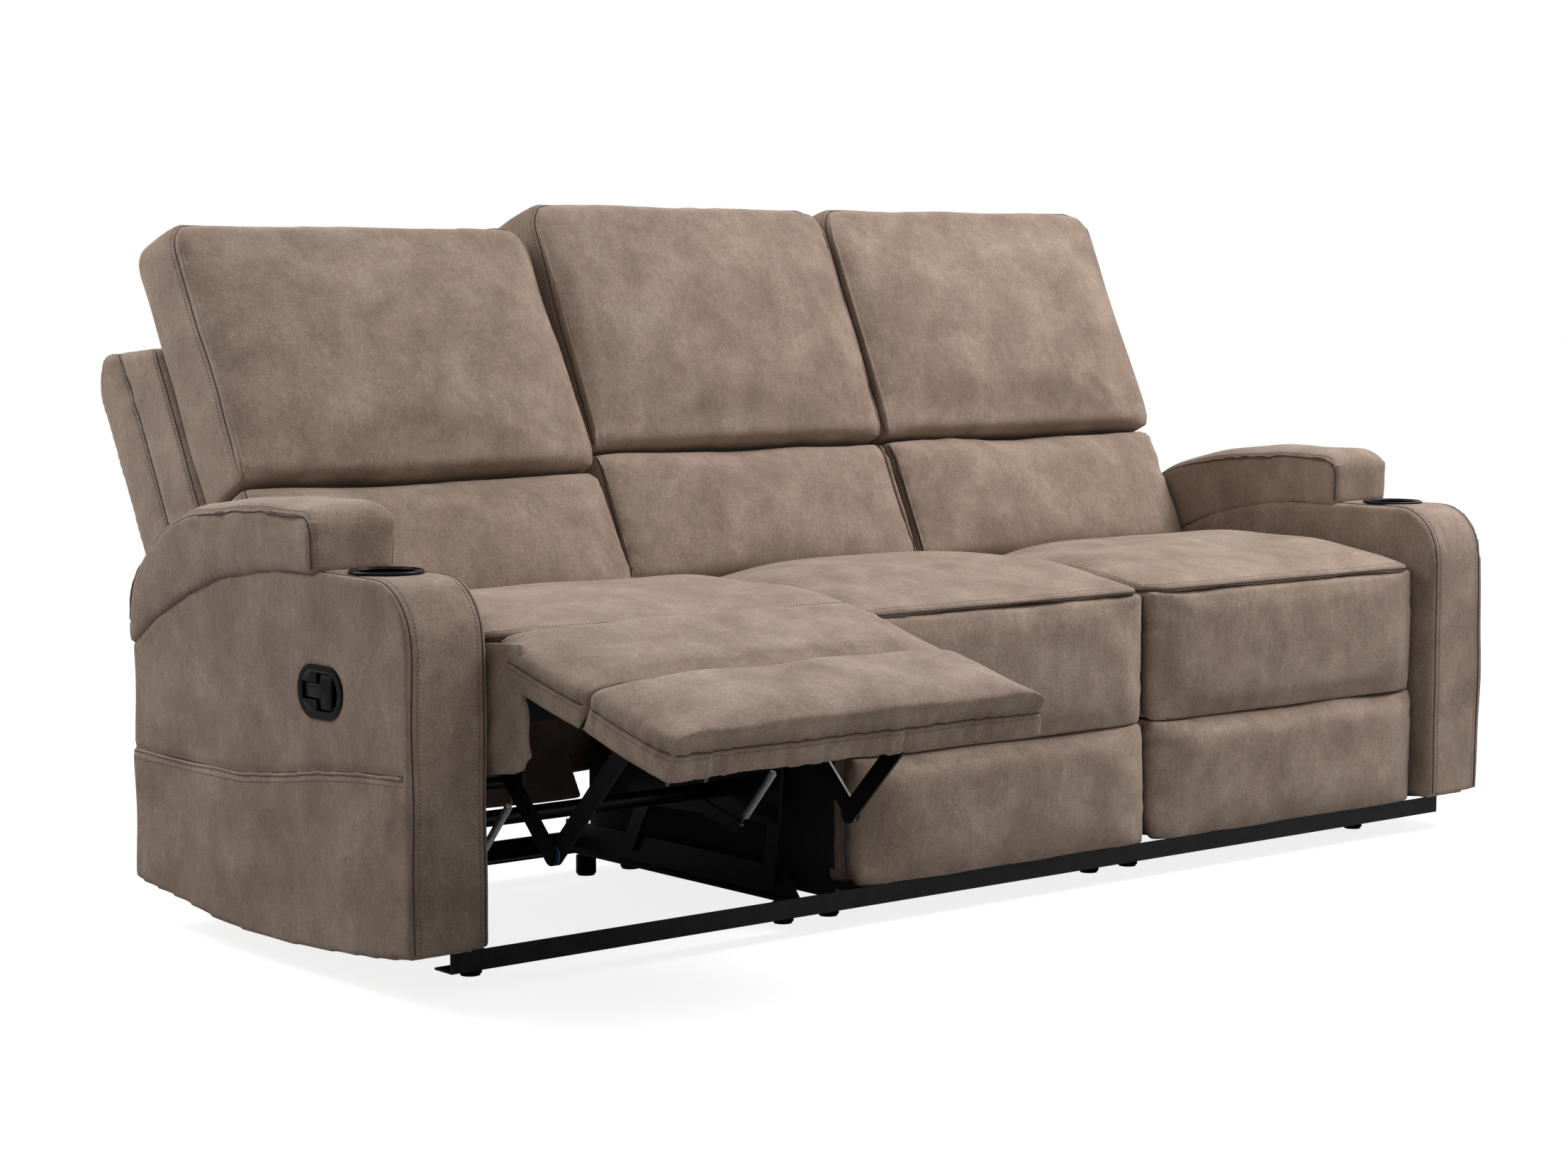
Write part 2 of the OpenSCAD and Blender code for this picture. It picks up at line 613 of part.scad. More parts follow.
// Underside of the back frame's thick part
step_front = on_rake(frame_t0, back_step_z);
step_rear = on_rake(frame_t1 - back_panel_t, back_step_z - 20);
function back_under(y) =
    step_front[1] + (step_rear[1] - step_front[1]) * (y - step_front[0]) / (step_rear[0] - step_front[0]);
module back_frame(half) along_x(-half, half) polygon(concat(
    [step_front, on_rake(frame_t0, back_frame_top)],
    [on_rake(frame_t1, back_frame_top) - [back_edge_r * 1.3, 0]],
    [on_rake(frame_t1, back_frame_top - back_edge_r * 0.25) - [back_edge_r * 0.3, 0]],
    [back_rear],
    [on_rake(frame_t1, back_panel_z), on_rake(frame_t1 - back_panel_t, back_panel_z), step_rear]));
module raked() translate(back_base) rotate(-back_rake) children();
module lumbar_cushion(half) along_x(-half, half)
    raked() polygon(soft_box([0, lumbar_s0], [back_cushion_t, lumbar_s1], [14, 6, 6, 26]));
module head_cushion(half) intersection() {
    along_x(-half, half)
        raked() polygon(soft_box([-6, head_s0], [back_cushion_t, head_s1], [26, 6, 30, 40]));
    translate([0, back_y + arm_depth, 0]) rotate([90, 0, 0]) linear_extrude(2 * arm_depth)
        polygon(soft_box([-half, back_z], [half, rake_pt(0, head_s1)[1]], [1, 1, head_corner_r, head_corner_r]));
}
module calf_pad(half) along_x(-half, half)
    polygon(soft_box([foot_front, calf_end], [board_front, calf_top], [22, 4, 6, 24]));
module foot_pad(half) along_x(-half, half)
    polygon(soft_box([foot_front - foot_pad_proud, foot_end], [board_front, calf_end - 2], [20, 4, 4, 24]));
// Sinuous springs that lie on the front and rear cross rails
module sinuous_springs(half, n) {
    y0 = seat_front_y + seat_lip_d + 2;
    y1 = seat_rear_y - 7;
    waves = 9;
    pitch = (y1 - y0) / waves;
    swing = 22;
    top = seat_bottom_z - wire_t;
    for (k = [0:n - 1]) {
        x = (k - (n - 1) / 2) * (2 * half - 60) / n;
        left_edge = [for (i = [0:waves]) [x + (i % 2 == 0 ? -swing : swing), y0 + i * pitch]];
        translate([0, 0, top]) linear_extrude(wire_t * 0.9)
            polygon(concat(left_edge, reversed([for (p = left_edge) p + [wire_t * 2, wire_t * 1.2]])));
    }
}
module seat_rails(u_in, u_out) {
    z0 = seat_bottom_z - wire_t - frame_rail_h;
    z1 = seat_bottom_z - wire_t;
    y0 = seat_front_y + seat_lip_d;
    // The front rail meets the side rails, the rear one the side plates
    front = u_in - seat_gap;
    rear = plane_plate[0] - seat_gap;
    rear_y = seat_rear_y - 5 - frame_rail_d;
    both_sides() block(u_in, u_out, y0, base_rear_y, z0, z1);
    block(-front, front, y0, y0 + frame_rail_d, z0, z1);
    block(-rear, rear, rear_y, rear_y + frame_rail_d, z0, z1);
}

// Middle seat
module middle_seat_cushion() color(FABRIC) sofa() seat_cushion(mid_half);
module middle_calf_panel() color(FABRIC) sofa() translate([0, hinge[0], hinge[1]]) calf_pad(mid_half);
module middle_foot_panel() color(FABRIC) sofa() translate([0, hinge[0], hinge[1]]) foot_pad(mid_half);
mid_box_u = mid_half - liner_t;
module middle_seat_box() color(WOOD) sofa() {
    front = hinge[0] + board_front;
    low = foot_h + side_rail_h;
    z1 = seat_bottom_z - wire_t;
    inner = mid_box_u - board_t - seat_gap;
    rear = seat_rear_y - 5;
    block(-mid_box_u, mid_box_u, front, front + board_t, low, z1);
    // The side boards rise behind the cushion and carry the back frame
    side_reach = [15, 100];
    side_rise = 150;
    under = function (y) back_under(y) - seat_gap;
    both_sides() along_x(mid_box_u - board_t, mid_box_u) polygon([
        [front + board_t + seat_gap, foot_h + angle_t], [base_rear_y, foot_h + angle_t],
        [base_rear_y, back_step_z - side_rise], [base_rear_y + side_reach[1], under(base_rear_y + side_reach[1])],
        [base_rear_y + side_reach[0], under(base_rear_y + side_reach[0])], [base_rear_y - frame_rail_d * 2, z1],
        [front + board_t + seat_gap, z1]]);
    for (y = [[front + board_t + seat_gap, seat_front_y + seat_lip_d + frame_rail_d],
              [rear - frame_rail_d, rear]])
        block(-inner, inner, y[0], y[1], z1 - frame_rail_h, z1);
}
module middle_side_liners() color(BLACK) sofa() both_sides()
    block(mid_box_u, mid_half, hinge[0] + board_front, base_rear_y, foot_h + side_rail_h + 2, seat_bottom_z - wire_t);
module middle_seat_springs() color(ZINC) sofa() sinuous_springs(mid_half, spring_n);
module middle_back_frame() color(FABRIC) sofa() back_frame(mid_half);
module middle_head_cushion() color(FABRIC) sofa() head_cushion(mid_half);
module middle_lumbar_cushion() color(FABRIC) sofa() lumbar_cushion(mid_half);

// Base links, with their lower rivets in the side rails
module base_link(low, top) {
    along_x(plane_base_link[0], plane_base_link[1]) strap(low, top, link_w);
    rod_x(low, rivet_r, plane_base_link[1], rail_u + angle_t + seat_gap + head_t);
    rod_x(low, head_r, rail_u + angle_t + seat_gap, rail_u + angle_t + seat_gap + head_t);
}
module front_base_links(side) color(BLACK) base_of(side) both_sides() {
    top = side == LEFT ? front_top_open : front_top_closed;
    head = plane_plate[0] - seat_gap - head_t;
    base_link(base_front, top);
    rod_x(top, rivet_r, head, plane_base_link[0]);
    rod_x(top, head_r, head, head + head_t);
}
module left_front_base_links() front_base_links(LEFT);
module right_front_base_links() front_base_links(RIGHT);
module rear_base_links(side) color(BLACK) base_of(side) both_sides() {
    top = side == LEFT ? rear_top_open : rear_top_closed;
    base_link(base_rear, top);
    rod_x(top, head_r, plane_plate[1] + seat_gap, plane_base_link[0]);
}
module left_rear_base_links() rear_base_links(LEFT);
module right_rear_base_links() rear_base_links(RIGHT);

// Seat unit of a recliner
module side_plates(side) color(BLACK) seat_of(side) both_sides() difference() {
    margin = 16;
    top = seat_bottom_z - wire_t;
    along_x(plane_plate[0], plane_plate[1]) polygon([
        [swing_pivot[0] - margin, top], [swing_pivot[0] - margin, swing_pivot[1] - margin],
        front_top_closed + [-margin, -margin], rear_top_closed + [margin, -margin],
        recline_pivot + [margin + 6, -margin], recline_pivot + [margin + 6, margin],
        [recline_pivot[0], top]]);
    for (p = [swing_pivot, front_top_closed])
        rod_x(p, rivet_r + rivet_play, plane_plate[0] - 1, plane_plate[1] + 1);
    rod_x(recline_pivot, rivet_r + rivet_play, plane_plate[0] - 1, plane_plate[1] + 1);
}
module left_side_plates() side_plates(LEFT);
module right_side_plates() side_plates(RIGHT);
module cross_tubes(side) color(BLACK) seat_of(side) {
    rod_x(tube_at, tube_r, -plane_plate[0], plane_plate[0]);
    rod_x(shaft_at, shaft_r, -plane_plate[0], shaft_len - plane_plate[0]);
    for (s = [0, 1]) mirror([s, 0, 0]) along_x(coil_tab[0], coil_tab[1]) difference() {
        strap(tube_at, coil_low, 20);
        translate(tube_at) circle(r = tube_r);
    }
}
module left_cross_tubes() cross_tubes(LEFT);
module right_cross_tubes() cross_tubes(RIGHT);
module seat_frame(side) color(BLACK) seat_of(side) {
    seat_rails(plane_plate[1], frame_u);
    low = seat_bottom_z - wire_t - frame_rail_h;
    both_sides() along_x(coil_tab[0], coil_tab[1]) intersection() {
        strap([seat_front_y + seat_lip_d + frame_rail_d / 2, low + 10], coil_top, 18);
        square([2 * coil_top[0], low]);
    }
}
module left_seat_frame() seat_frame(LEFT);
module right_seat_frame() seat_frame(RIGHT);
module left_seat_springs() color(ZINC) seat_of(LEFT) sinuous_springs(end_half, spring_n);
module right_seat_springs() color(ZINC) seat_of(RIGHT) sinuous_springs(end_half, spring_n);
module left_seat_cushion() color(FABRIC) seat_of(LEFT) seat_cushion(end_half);
module right_seat_cushion() color(FABRIC) seat_of(RIGHT) seat_cushion(end_half);
wing_rear_in = 60;      // of a wing's rear end from the end of the base
module seat_wings(side) color(FABRIC) seat_of(side) both_sides() along_x(frame_u, end_half)
    polygon(soft_box([seat_front_y + seat_lip_d + 2, seat_bottom_z - seat_gap - wing_drop],
                     [base_rear_y - wing_rear_in, seat_bottom_z - seat_gap], [24, 10, 1, 1]));
module left_seat_wings() seat_wings(LEFT);
module right_seat_wings() seat_wings(RIGHT);
module return_springs(side) color(ZINC) seat_of(side) both_sides() {
    // A wire from hook to hook, with the coil around its middle part
    wire_r = 1.5;
    len = span(coil_low, coil_top);
    for (p = [coil_low, coil_top]) rod_x(p, wire_r + 1, coil_tab[1], plane_coil + wire_r + 1);
    translate([plane_coil, coil_low[0], coil_low[1]]) rotate([slope(coil_low, coil_top) - 90, 0, 0]) {
        cylinder(r = wire_r, h = len);
        translate([0, 0, len * 0.14]) cylinder(r = coil_r, h = len * 0.72);
    }
}
module left_return_springs() return_springs(LEFT);
module right_return_springs() return_springs(RIGHT);

// Footrest linkage
module swing_links(side) color(BLACK) seat_of(side) both_sides() difference() {
    knee = side == LEFT ? knee_open : knee_closed;
    union() {
        along_x(plane_swing[0], plane_swing[1]) strap(swing_pivot, knee, link_w);
        rod_x(swing_pivot, rivet_r, plane_swing[1], plane_plate[1] - seat_gap);
        rod_x(swing_pivot, head_r, plane_swing[0] - head_t, plane_swing[0]);
    }
    rod_x(knee, rivet_r + rivet_play, plane_swing[0] - 1, plane_swing[1] + 1);
}
module left_swing_links() swing_links(LEFT);
module right_swing_links() swing_links(RIGHT);
module long_links(side) color(BLACK) seat_of(side) both_sides() {
    knee = side == LEFT ? knee_open : knee_closed;
    far = side == LEFT ? bracket_open : bracket_closed;
    along_x(plane_long[0], plane_long[1]) strap(knee, far, link_w);
    rod_x(knee, rivet_r, plane_long[1], plane_swing[1] + seat_gap + head_t);
    rod_x(knee, head_r - 1, plane_swing[1] + seat_gap, plane_swing[1] + seat_gap + head_t);
}
module left_long_links() long_links(LEFT);
module right_long_links() long_links(RIGHT);
module ottoman_frame(side) color(BLACK) footrest_of(side) {
    a0 = -bracket_pivot_a - bracket_down;
    a1 = -bracket_pivot_a + bracket_up;
    block(-end_half + 10, end_half - 10, board_front, board_back, foot_end + 6, calf_top - 4);
    both_sides() {
        along_x(plane_bracket[0], plane_bracket[1])
            polygon([[board_back, a0], [board_back + 20, a0], [bracket_pivot_b + 14, -bracket_pivot_a - 14],
                     [bracket_pivot_b + 14, -bracket_pivot_a + 14], [board_back + 20, a1], [board_back, a1]]);
        block(plane_bracket[0] - 24, plane_bracket[0], board_back, board_back + 3, a0, a1);
        rod_x([bracket_pivot_b, -bracket_pivot_a], head_r, plane_bracket[1], plane_long[0] - seat_gap);
    }
}
module left_ottoman_frame() ottoman_frame(LEFT);
module right_ottoman_frame() ottoman_frame(RIGHT);
module left_calf_pad() color(FABRIC) footrest_of(LEFT) calf_pad(end_half);
module right_calf_pad() color(FABRIC) footrest_of(RIGHT) calf_pad(end_half);
module left_foot_pad() color(FABRIC) footrest_of(LEFT) foot_pad(end_half);
module right_foot_pad() color(FABRIC) footrest_of(RIGHT) foot_pad(end_half);

// Reclining back
bracket_u = plane_plate[0] - 2 - link_t;
module back_brackets(side) color(BLACK) seat_of(side) both_sides() {
    along_x(bracket_u, bracket_u + link_t) strap(recline_pivot, bracket_end, bracket_w);
    rod_x(recline_pivot, rivet_r, bracket_u + link_t, plane_plate[1] + seat_gap + head_t);
    rod_x(recline_pivot, head_r, plane_plate[1] + seat_gap, plane_plate[1] + seat_gap + head_t);
}
module left_back_brackets() back_brackets(LEFT);
module right_back_brackets() back_brackets(RIGHT);
module slotted_back_frame(side) color(FABRIC) seat_of(side) difference() {
    back_frame(end_half);
    both_sides() along_x(bracket_u - seat_gap, bracket_u + link_t + seat_gap)
        strap(recline_pivot, bracket_end, bracket_w + 2 * seat_gap);
}
module left_back_frame() slotted_back_frame(LEFT);
module right_back_frame() slotted_back_frame(RIGHT);
module left_head_cushion() color(FABRIC) seat_of(LEFT) head_cushion(end_half);
module right_head_cushion() color(FABRIC) seat_of(RIGHT) head_cushion(end_half);
module left_lumbar_cushion() color(FABRIC) seat_of(LEFT) lumbar_cushion(end_half);
module right_lumbar_cushion() color(FABRIC) seat_of(RIGHT) lumbar_cushion(end_half);

cross_rails();
side_rails();
glide_feet();
left_arm_outer_panel();
right_arm_outer_panel();
arm_inner_panels();
arm_bands();
left_arm_pad();
right_arm_pad();
arm_frames();
cup_holders();
lever_bezels();
release_cables();
left_release_lever();
right_release_lever();
middle_seat_cushion();
middle_calf_panel();
middle_foot_panel();
middle_seat_box();
middle_side_liners();
middle_seat_springs();
middle_back_frame();
middle_head_cushion();
middle_lumbar_cushion();
left_front_base_links();
right_front_base_links();
left_rear_base_links();
right_rear_base_links();
left_side_plates();
right_side_plates();
left_cross_tubes();
right_cross_tubes();
left_seat_frame();
right_seat_frame();
left_seat_springs();
right_seat_springs();
left_seat_cushion();
right_seat_cushion();
left_seat_wings();
right_seat_wings();
left_return_springs();
right_return_springs();
left_swing_links();
right_swing_links();
left_long_links();
right_long_links();
left_ottoman_frame();
right_ottoman_frame();
left_calf_pad();
right_calf_pad();
left_foot_pad();
right_foot_pad();
left_back_brackets();
right_back_brackets();
left_back_frame();
right_back_frame();
left_head_cushion();
right_head_cushion();
left_lumbar_cushion();
right_lumbar_cushion();
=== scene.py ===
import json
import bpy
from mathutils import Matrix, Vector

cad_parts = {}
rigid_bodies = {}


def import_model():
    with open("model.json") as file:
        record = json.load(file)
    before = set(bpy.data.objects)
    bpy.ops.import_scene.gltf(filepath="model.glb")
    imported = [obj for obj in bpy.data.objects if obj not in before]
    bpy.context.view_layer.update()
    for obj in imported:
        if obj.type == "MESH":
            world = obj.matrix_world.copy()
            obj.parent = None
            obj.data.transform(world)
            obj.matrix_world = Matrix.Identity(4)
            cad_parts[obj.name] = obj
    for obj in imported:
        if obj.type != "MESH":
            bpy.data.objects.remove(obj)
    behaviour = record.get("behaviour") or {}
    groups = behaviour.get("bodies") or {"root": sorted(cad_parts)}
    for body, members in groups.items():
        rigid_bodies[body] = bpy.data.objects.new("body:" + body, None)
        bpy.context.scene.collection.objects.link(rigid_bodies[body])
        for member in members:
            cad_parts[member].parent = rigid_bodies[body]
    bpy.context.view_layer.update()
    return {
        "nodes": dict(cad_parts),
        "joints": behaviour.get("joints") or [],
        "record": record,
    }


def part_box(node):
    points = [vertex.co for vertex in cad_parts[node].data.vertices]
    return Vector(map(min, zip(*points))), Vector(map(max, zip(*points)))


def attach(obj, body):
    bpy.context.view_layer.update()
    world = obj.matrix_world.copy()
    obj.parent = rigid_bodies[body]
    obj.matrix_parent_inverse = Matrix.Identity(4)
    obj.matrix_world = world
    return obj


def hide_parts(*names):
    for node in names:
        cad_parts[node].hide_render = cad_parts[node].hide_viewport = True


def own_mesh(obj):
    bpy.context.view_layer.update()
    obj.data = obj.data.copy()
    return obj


bl_info = {
    "name": "Reclining Sofa Upholstery",
    "version": (1, 0, 0),
    "blender": (4, 5, 0),
    "location": "3D View > Sidebar > Sofa",
    "description": "Cushions, seams, springs and finishes of a three-seat reclining sofa",
    "category": "Object",
}

from collections import namedtuple
from math import cos, inf, pi, radians, sin, tau
from types import SimpleNamespace as Measures

import bmesh
import bpy
import numpy as np
from bpy.props import FloatProperty, FloatVectorProperty, IntProperty, PointerProperty
from mathutils import Matrix, Vector
from mathutils.bvhtree import BVHTree
from mathutils.kdtree import KDTree

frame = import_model()

NODES = frame["nodes"]
JOINT_AT = {j["name"]: Vector(j["pos_m"]) for j in frame["joints"]}
SLOT_OF = {p["node"]: p["material_slot"] for p in frame["record"]["subparts"]}
SIDES = ("left", "middle", "right")
WAY = {"left": -1, "right": 1}

# Places read from the solids: the arms' planes, and each seat's middle and half width
ARM_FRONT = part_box("right_arm_outer_panel")[0].y
ARM_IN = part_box("right_arm_pad")[0].x
ARM_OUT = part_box("right_arm_outer_panel")[1].x
END_X = (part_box("right_seat_cushion")[0].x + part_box("right_seat_cushion")[1].x) / 2
END_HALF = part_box("right_seat_cushion")[1].x - END_X
SEAT_X = {"left": -END_X, "middle": 0.0, "right": END_X}
HALF = {"left": END_HALF, "middle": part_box("middle_seat_cushion")[1].x, "right": END_HALF}
HERE = Matrix.Identity(4)
ARM_PLACE = Matrix.Translation((0, ARM_FRONT, 0))

# Measures of the covers in metres, each in the frame of its own part
BACK_FOOT = Vector((0, 0.517, 0.430))
REAR_TOP = np.array([1.034, 0.786])
HEAD = Measures(low=0.2233, high=0.6393, deep=0.128, seam=0.016, rise=0.010, radius=0.066, side_roll=0.110,
                top_roll=0.110, low_roll=0.055, low_crown=0.35, sink=0.013, crown=0.025)
LUMBAR = Measures(low=0.020, high=0.223, deep=0.128, seam=0.014, side_roll=0.080, top_roll=0.045,
                  low_roll=0.050, low_crown=0.4, sink=0.012, crown=0.020)
SEAT = Measures(front=0.022, rear=0.570, welt=0.435, crown=0.470, rear_top=0.410, peak=0.43, floor=0.344,
                lip=0.096, under_lip=0.4212, side_drop=0.022, side_seam=0.034, corner=0.042)
CALF = Measures(low=-0.1970, high=-0.0062, seam=0.018, crown=0.028, top_dip=0.06, top_roll=0.012,
                low_dip=0.46, low_roll=0.034, low_pinch=0.009)
FOOT = Measures(low=-0.3738, high=-0.1976, seam=0.016, crown=0.032, top_dip=0.50, top_roll=0.032,
                low_dip=0.36, low_roll=0.018, low_pinch=0.016)
BOARD = Measures(front=0.0395, wrap=0.0545, edge=0.0085, toe=0.0082)
PAD = Measures(inner=ARM_IN, outer=ARM_OUT + 0.006, front=0.205)
ARM = Measures(height=0.519, corner=0.080, fall=0.200, depth=0.685, rear=0.387, bottom=0.061)
POCKET = np.array([(0.690, 0.240), (0.528, 0.239), (0.388, 0.242), (0.290, 0.253), (0.203, 0.266),
                   (0.110, 0.275), (0.012, 0.281)])
GUSSET = Measures(front=-0.020, rear=0.112, low=0.262, high=0.420, thick=0.010)
FOLDS = Measures(  # small folds beside the seams: height, reach and pitch
    head_seam=(0.0006, 0.020, 0.034), head_low=(0.0014, 0.024, 0.045), head_corner=(0.0020, 0.026, 0.022),
    lumbar_top=(0.0012, 0.022, 0.050), lumbar_end=(0.0022, 0.034, 0.030), seat_seam=(0.0008, 0.020, 0.034),
    foot_edge=(0.0042, 0.015, 0.015), foot_low=(0.0022, 0.018, 0.024), calf_low=(0.0022, 0.022, 0.024),
    pad_high=(0.0013, 0.022, 0.024), pad_end=(0.0017, 0.020, 0.022), back_wing=(0.0010, 0.030, 0.040),
    back_hem=(0.0018, 0.030, 0.050), pocket=(0.0009, 0.030, 0.070), arm_pad=(0.0006, 0.018, 0.030))
WAVES = Measures(  # slight waves of the covers: height and length
    head=(0.0020, 0.20), lumbar=(0.0022, 0.18), seat=(0.0020, 0.18), pad=(0.0016, 0.16), back=(0.0016, 0.20),
    arm=(0.0014, 0.18), arm_pad=(0.0018, 0.12), wing=(0.0015, 0.07))
GRAIN = Measures(arm=0.0052, back=0.0062, arm_pad=0.0040, wing=0.0045, gusset=0.0040)  # mesh sizes
SWELL = Measures(head=0.016, lumbar=0.014, seat=0.018, pad=0.009, arm_pad=0.010)  # bulge of each filling
EASE = 0.003  # how far a cover starts inside its full width, and stands out of it when filled
HOLD = 0.006  # half the width of the band that a seam holds
TRACE_PITCH = 0.004
CORD_PITCH = 0.005
PRESS_WIDTH = 0.006
# painted shade: how dark a pressed seam's valley is painted in the fabric
PAINTED_SEAM_SHADE = 0.30
STITCH = Measures(long=0.0034, wide=0.0011, high=0.0009, rise=0.0002)
CAMERA = Measures(at=(-3.0886, -3.5587, 0.8875), yaw=radians(39.515), pitch=radians(5.5955), lens=73.25)
STAGE = Measures(floor_size=60, floor_grey=0.36, floor_glow=0.84, sky=0.272, sensor=36.0)
LIGHTS = {  # place, target, size, power
    "key": ((2.3, -1.25, 3.6), (0.5, 0.1, 0.5), 2.3, 174),
    "fill": ((-2.2, -3.4, 3.2), (-0.2, 0, 0.8), 2.6, 13),
    "side": ((-1.8, 1.25, 1.75), (-0.95, 0.55, 0.75), 1.0, 15),
    "rear": ((-1.8, 3.0, 3.2), (0, 0.3, 0.6), 2.4, 58),
}

# What the operators hand on to each other
FINISH = {}
STUFFED = []
THREADS = {}
# dark lines of painted shadow, laid in the seams' valleys
SEAM_SHADOW_LINES = {}
CORDING = {}

Piece = namedtuple("Piece", "obj body place", defaults=(HERE,))


def length(name, description, default):
    return FloatProperty(name=name, description=description, default=default, unit="LENGTH")


def angle(name, description, degrees):
    return FloatProperty(name=name, description=description, default=radians(degrees),
                         subtype="ANGLE", unit="ROTATION")


def colour(name, description, default):
    return FloatVectorProperty(name=name, description=description, default=default, subtype="COLOR")


class SofaSizes(bpy.types.PropertyGroup):
    rake: angle("Rake", "Lean of the backs", 25)
    footrest_angle: angle("Footrest", "Angle by which a footrest opens", 72)
    seat_tip: angle("Seat tip", "Angle by which an opened seat leans back", 4)
    grain: length("Mesh grain", "Edge length of the covers' meshes", 0.0058)
    swell: FloatProperty(name="Swell", description="Share of each cover's own bulge", default=1.0)
    pressure: FloatProperty(name="Filling", description="Pressure of the filling", default=4.0)
    steps: IntProperty(name="Steps", description="Steps of the filling simulation", default=20)
    stitch_pitch: length("Stitch pitch", "Distance between two stitches", 0.0052)
    cord_radius: length("Cording", "Radius of the corded seams", 0.0024)
    # painted shadow: the dark line in each seam stands in for the shade in its valley
    seam_shadow_radius: length("Seam line", "Radius of the dark line between two panels", 0.0011)
    spring_wire: length("Spring wire", "Radius of the return springs' wire", 0.0009)


class SofaColours(bpy.types.PropertyGroup):
    fabric: colour("Fabric", "Main colour of the microfibre", (0.300, 0.222, 0.172))
    fabric_dark: colour("Fabric, shaded nap", "Colour where the nap lies down", (0.248, 0.179, 0.138))
    fabric_light: colour("Fabric, raised nap", "Colour where the nap stands up", (0.358, 0.273, 0.216))
    thread: colour("Thread", "Colour of the topstitching", (0.085, 0.055, 0.040))
    # painted shadow: colour of the dark lines laid in the seams in place of the shade in their valleys
    crease: colour("Seam line", "Colour between two panels sewn together", (0.045, 0.028, 0.020))
    steel: colour("Painted steel", "Colour of the mechanism", (0.005, 0.005, 0.006))
    zinc: colour("Zinc", "Colour of springs and rivets", (0.62, 0.62, 0.64))
    plastic: colour("Plastic", "Colour of levers, cups and feet", (0.005, 0.005, 0.005))
    washer_blue: colour("Blue washer", "Colour of the large washers", (0.03, 0.16, 0.42))
    washer_yellow: colour("Yellow washer", "Colour of the small washers", (0.72, 0.50, 0.04))


def sizes():
    return bpy.context.scene.sofa_sizes


def colours():
    return bpy.context.scene.sofa_colours


# Frames of the moving parts. Inside one, y runs back and z up from its own zero.
def seat_place(side):
    """The seat unit as it stands with its footrest closed, moved to where it rests."""
    still = Matrix.Translation((SEAT_X[side], ARM_FRONT, 0))
    if side != "left":
        return still
    tip = Matrix.Rotation(-sizes().seat_tip, 4, "X")
    return (Matrix.Translation(JOINT_AT["left_seat_tip"]) @ tip
            @ Matrix.Translation(-JOINT_AT["right_seat_tip"]) @ still)


def hinge_place(side):
    """The footrest, measured from its hinge line."""
    hinge = JOINT_AT["right_footrest_fold"] - Vector((0, ARM_FRONT, 0))
    place = seat_place(side) @ Matrix.Translation(hinge)
    if side == "left":
        place = place @ Matrix.Rotation(-sizes().footrest_angle, 4, "X")
    return place


def back_place(side):
    """The back, with y as depth behind its front face and z as height along its rake."""
    return seat_place(side) @ Matrix.Translation(BACK_FOOT) @ Matrix.Rotation(-sizes().rake, 4, "X")


def body_of(side, part):
    return "root" if side == "middle" else f"{side}_{part}"


# Work on meshes
def select_only(obj):
    bpy.ops.object.select_all(action="DESELECT")
    obj.select_set(True)
    bpy.context.view_layer.objects.active = obj


def add(name, data):
    """A new selected object of a mesh or a curve."""
    obj = bpy.data.objects.new(name, data)
    bpy.context.scene.collection.objects.link(obj)
    select_only(obj)
    return obj


def start(name, primitive, **values):
    """A new primitive, added with nothing else selected."""
    bpy.ops.object.select_all(action="DESELECT")
    primitive(**values)
    obj = bpy.context.active_object
    obj.name = obj.data.name = name
    return obj


def edit(operation, **values):
    """One edit-mode operation on the whole active mesh."""
    bpy.ops.object.mode_set(mode="EDIT")
    bpy.ops.mesh.select_all(action="SELECT")
    operation(**values)
    bpy.ops.object.mode_set(mode="OBJECT")


def read(obj, what):
    flat = np.empty(len(obj.data.vertices) * 3, np.float32)
    obj.data.vertices.foreach_get(what, flat)
    return flat.reshape(-1, 3).astype(float)


def points_of(obj):
    return read(obj, "co")


def normals_of(obj):
    return read(obj, "normal")


def move_points(obj, co):
    obj.data.vertices.foreach_set("co", co.astype(np.float32).ravel())
    obj.data.update()


def apply_modifier(obj, kind, **values):
    select_only(obj)
    mod = obj.modifiers.new(kind.title(), kind)
    for key, value in values.items():
        setattr(mod, key, value)
    bpy.ops.object.modifier_apply(modifier=mod.name)


def remesh(obj, voxel, rounding):
    apply_modifier(obj, "REMESH", mode="VOXEL", voxel_size=voxel, use_smooth_shade=True)
    apply_modifier(obj, "SMOOTH", factor=0.5, iterations=rounding)


def from_solid(name, nodes, place, voxel, rounding, shrink=0.0, way=0):
    """A fine even mesh round CAD solids, in the piece's own frame; way keeps one side of the sofa."""
    whole = bmesh.new()
    for node_name in nodes:
        whole.from_mesh(NODES[node_name].data)
    if way:
        other = [v for v in whole.verts if v.co.x * way < 0]
        bmesh.ops.delete(whole, geom=other, context="VERTS")
    bmesh.ops.remove_doubles(whole, verts=whole.verts, dist=1e-5)
    mesh = bpy.data.meshes.new(name)
    whole.to_mesh(mesh)
    whole.free()
    mesh.transform(place.inverted())
    obj = add(name, mesh)
    remesh(obj, voxel, rounding)
    move_points(obj, points_of(obj) - normals_of(obj) * shrink)
    return obj


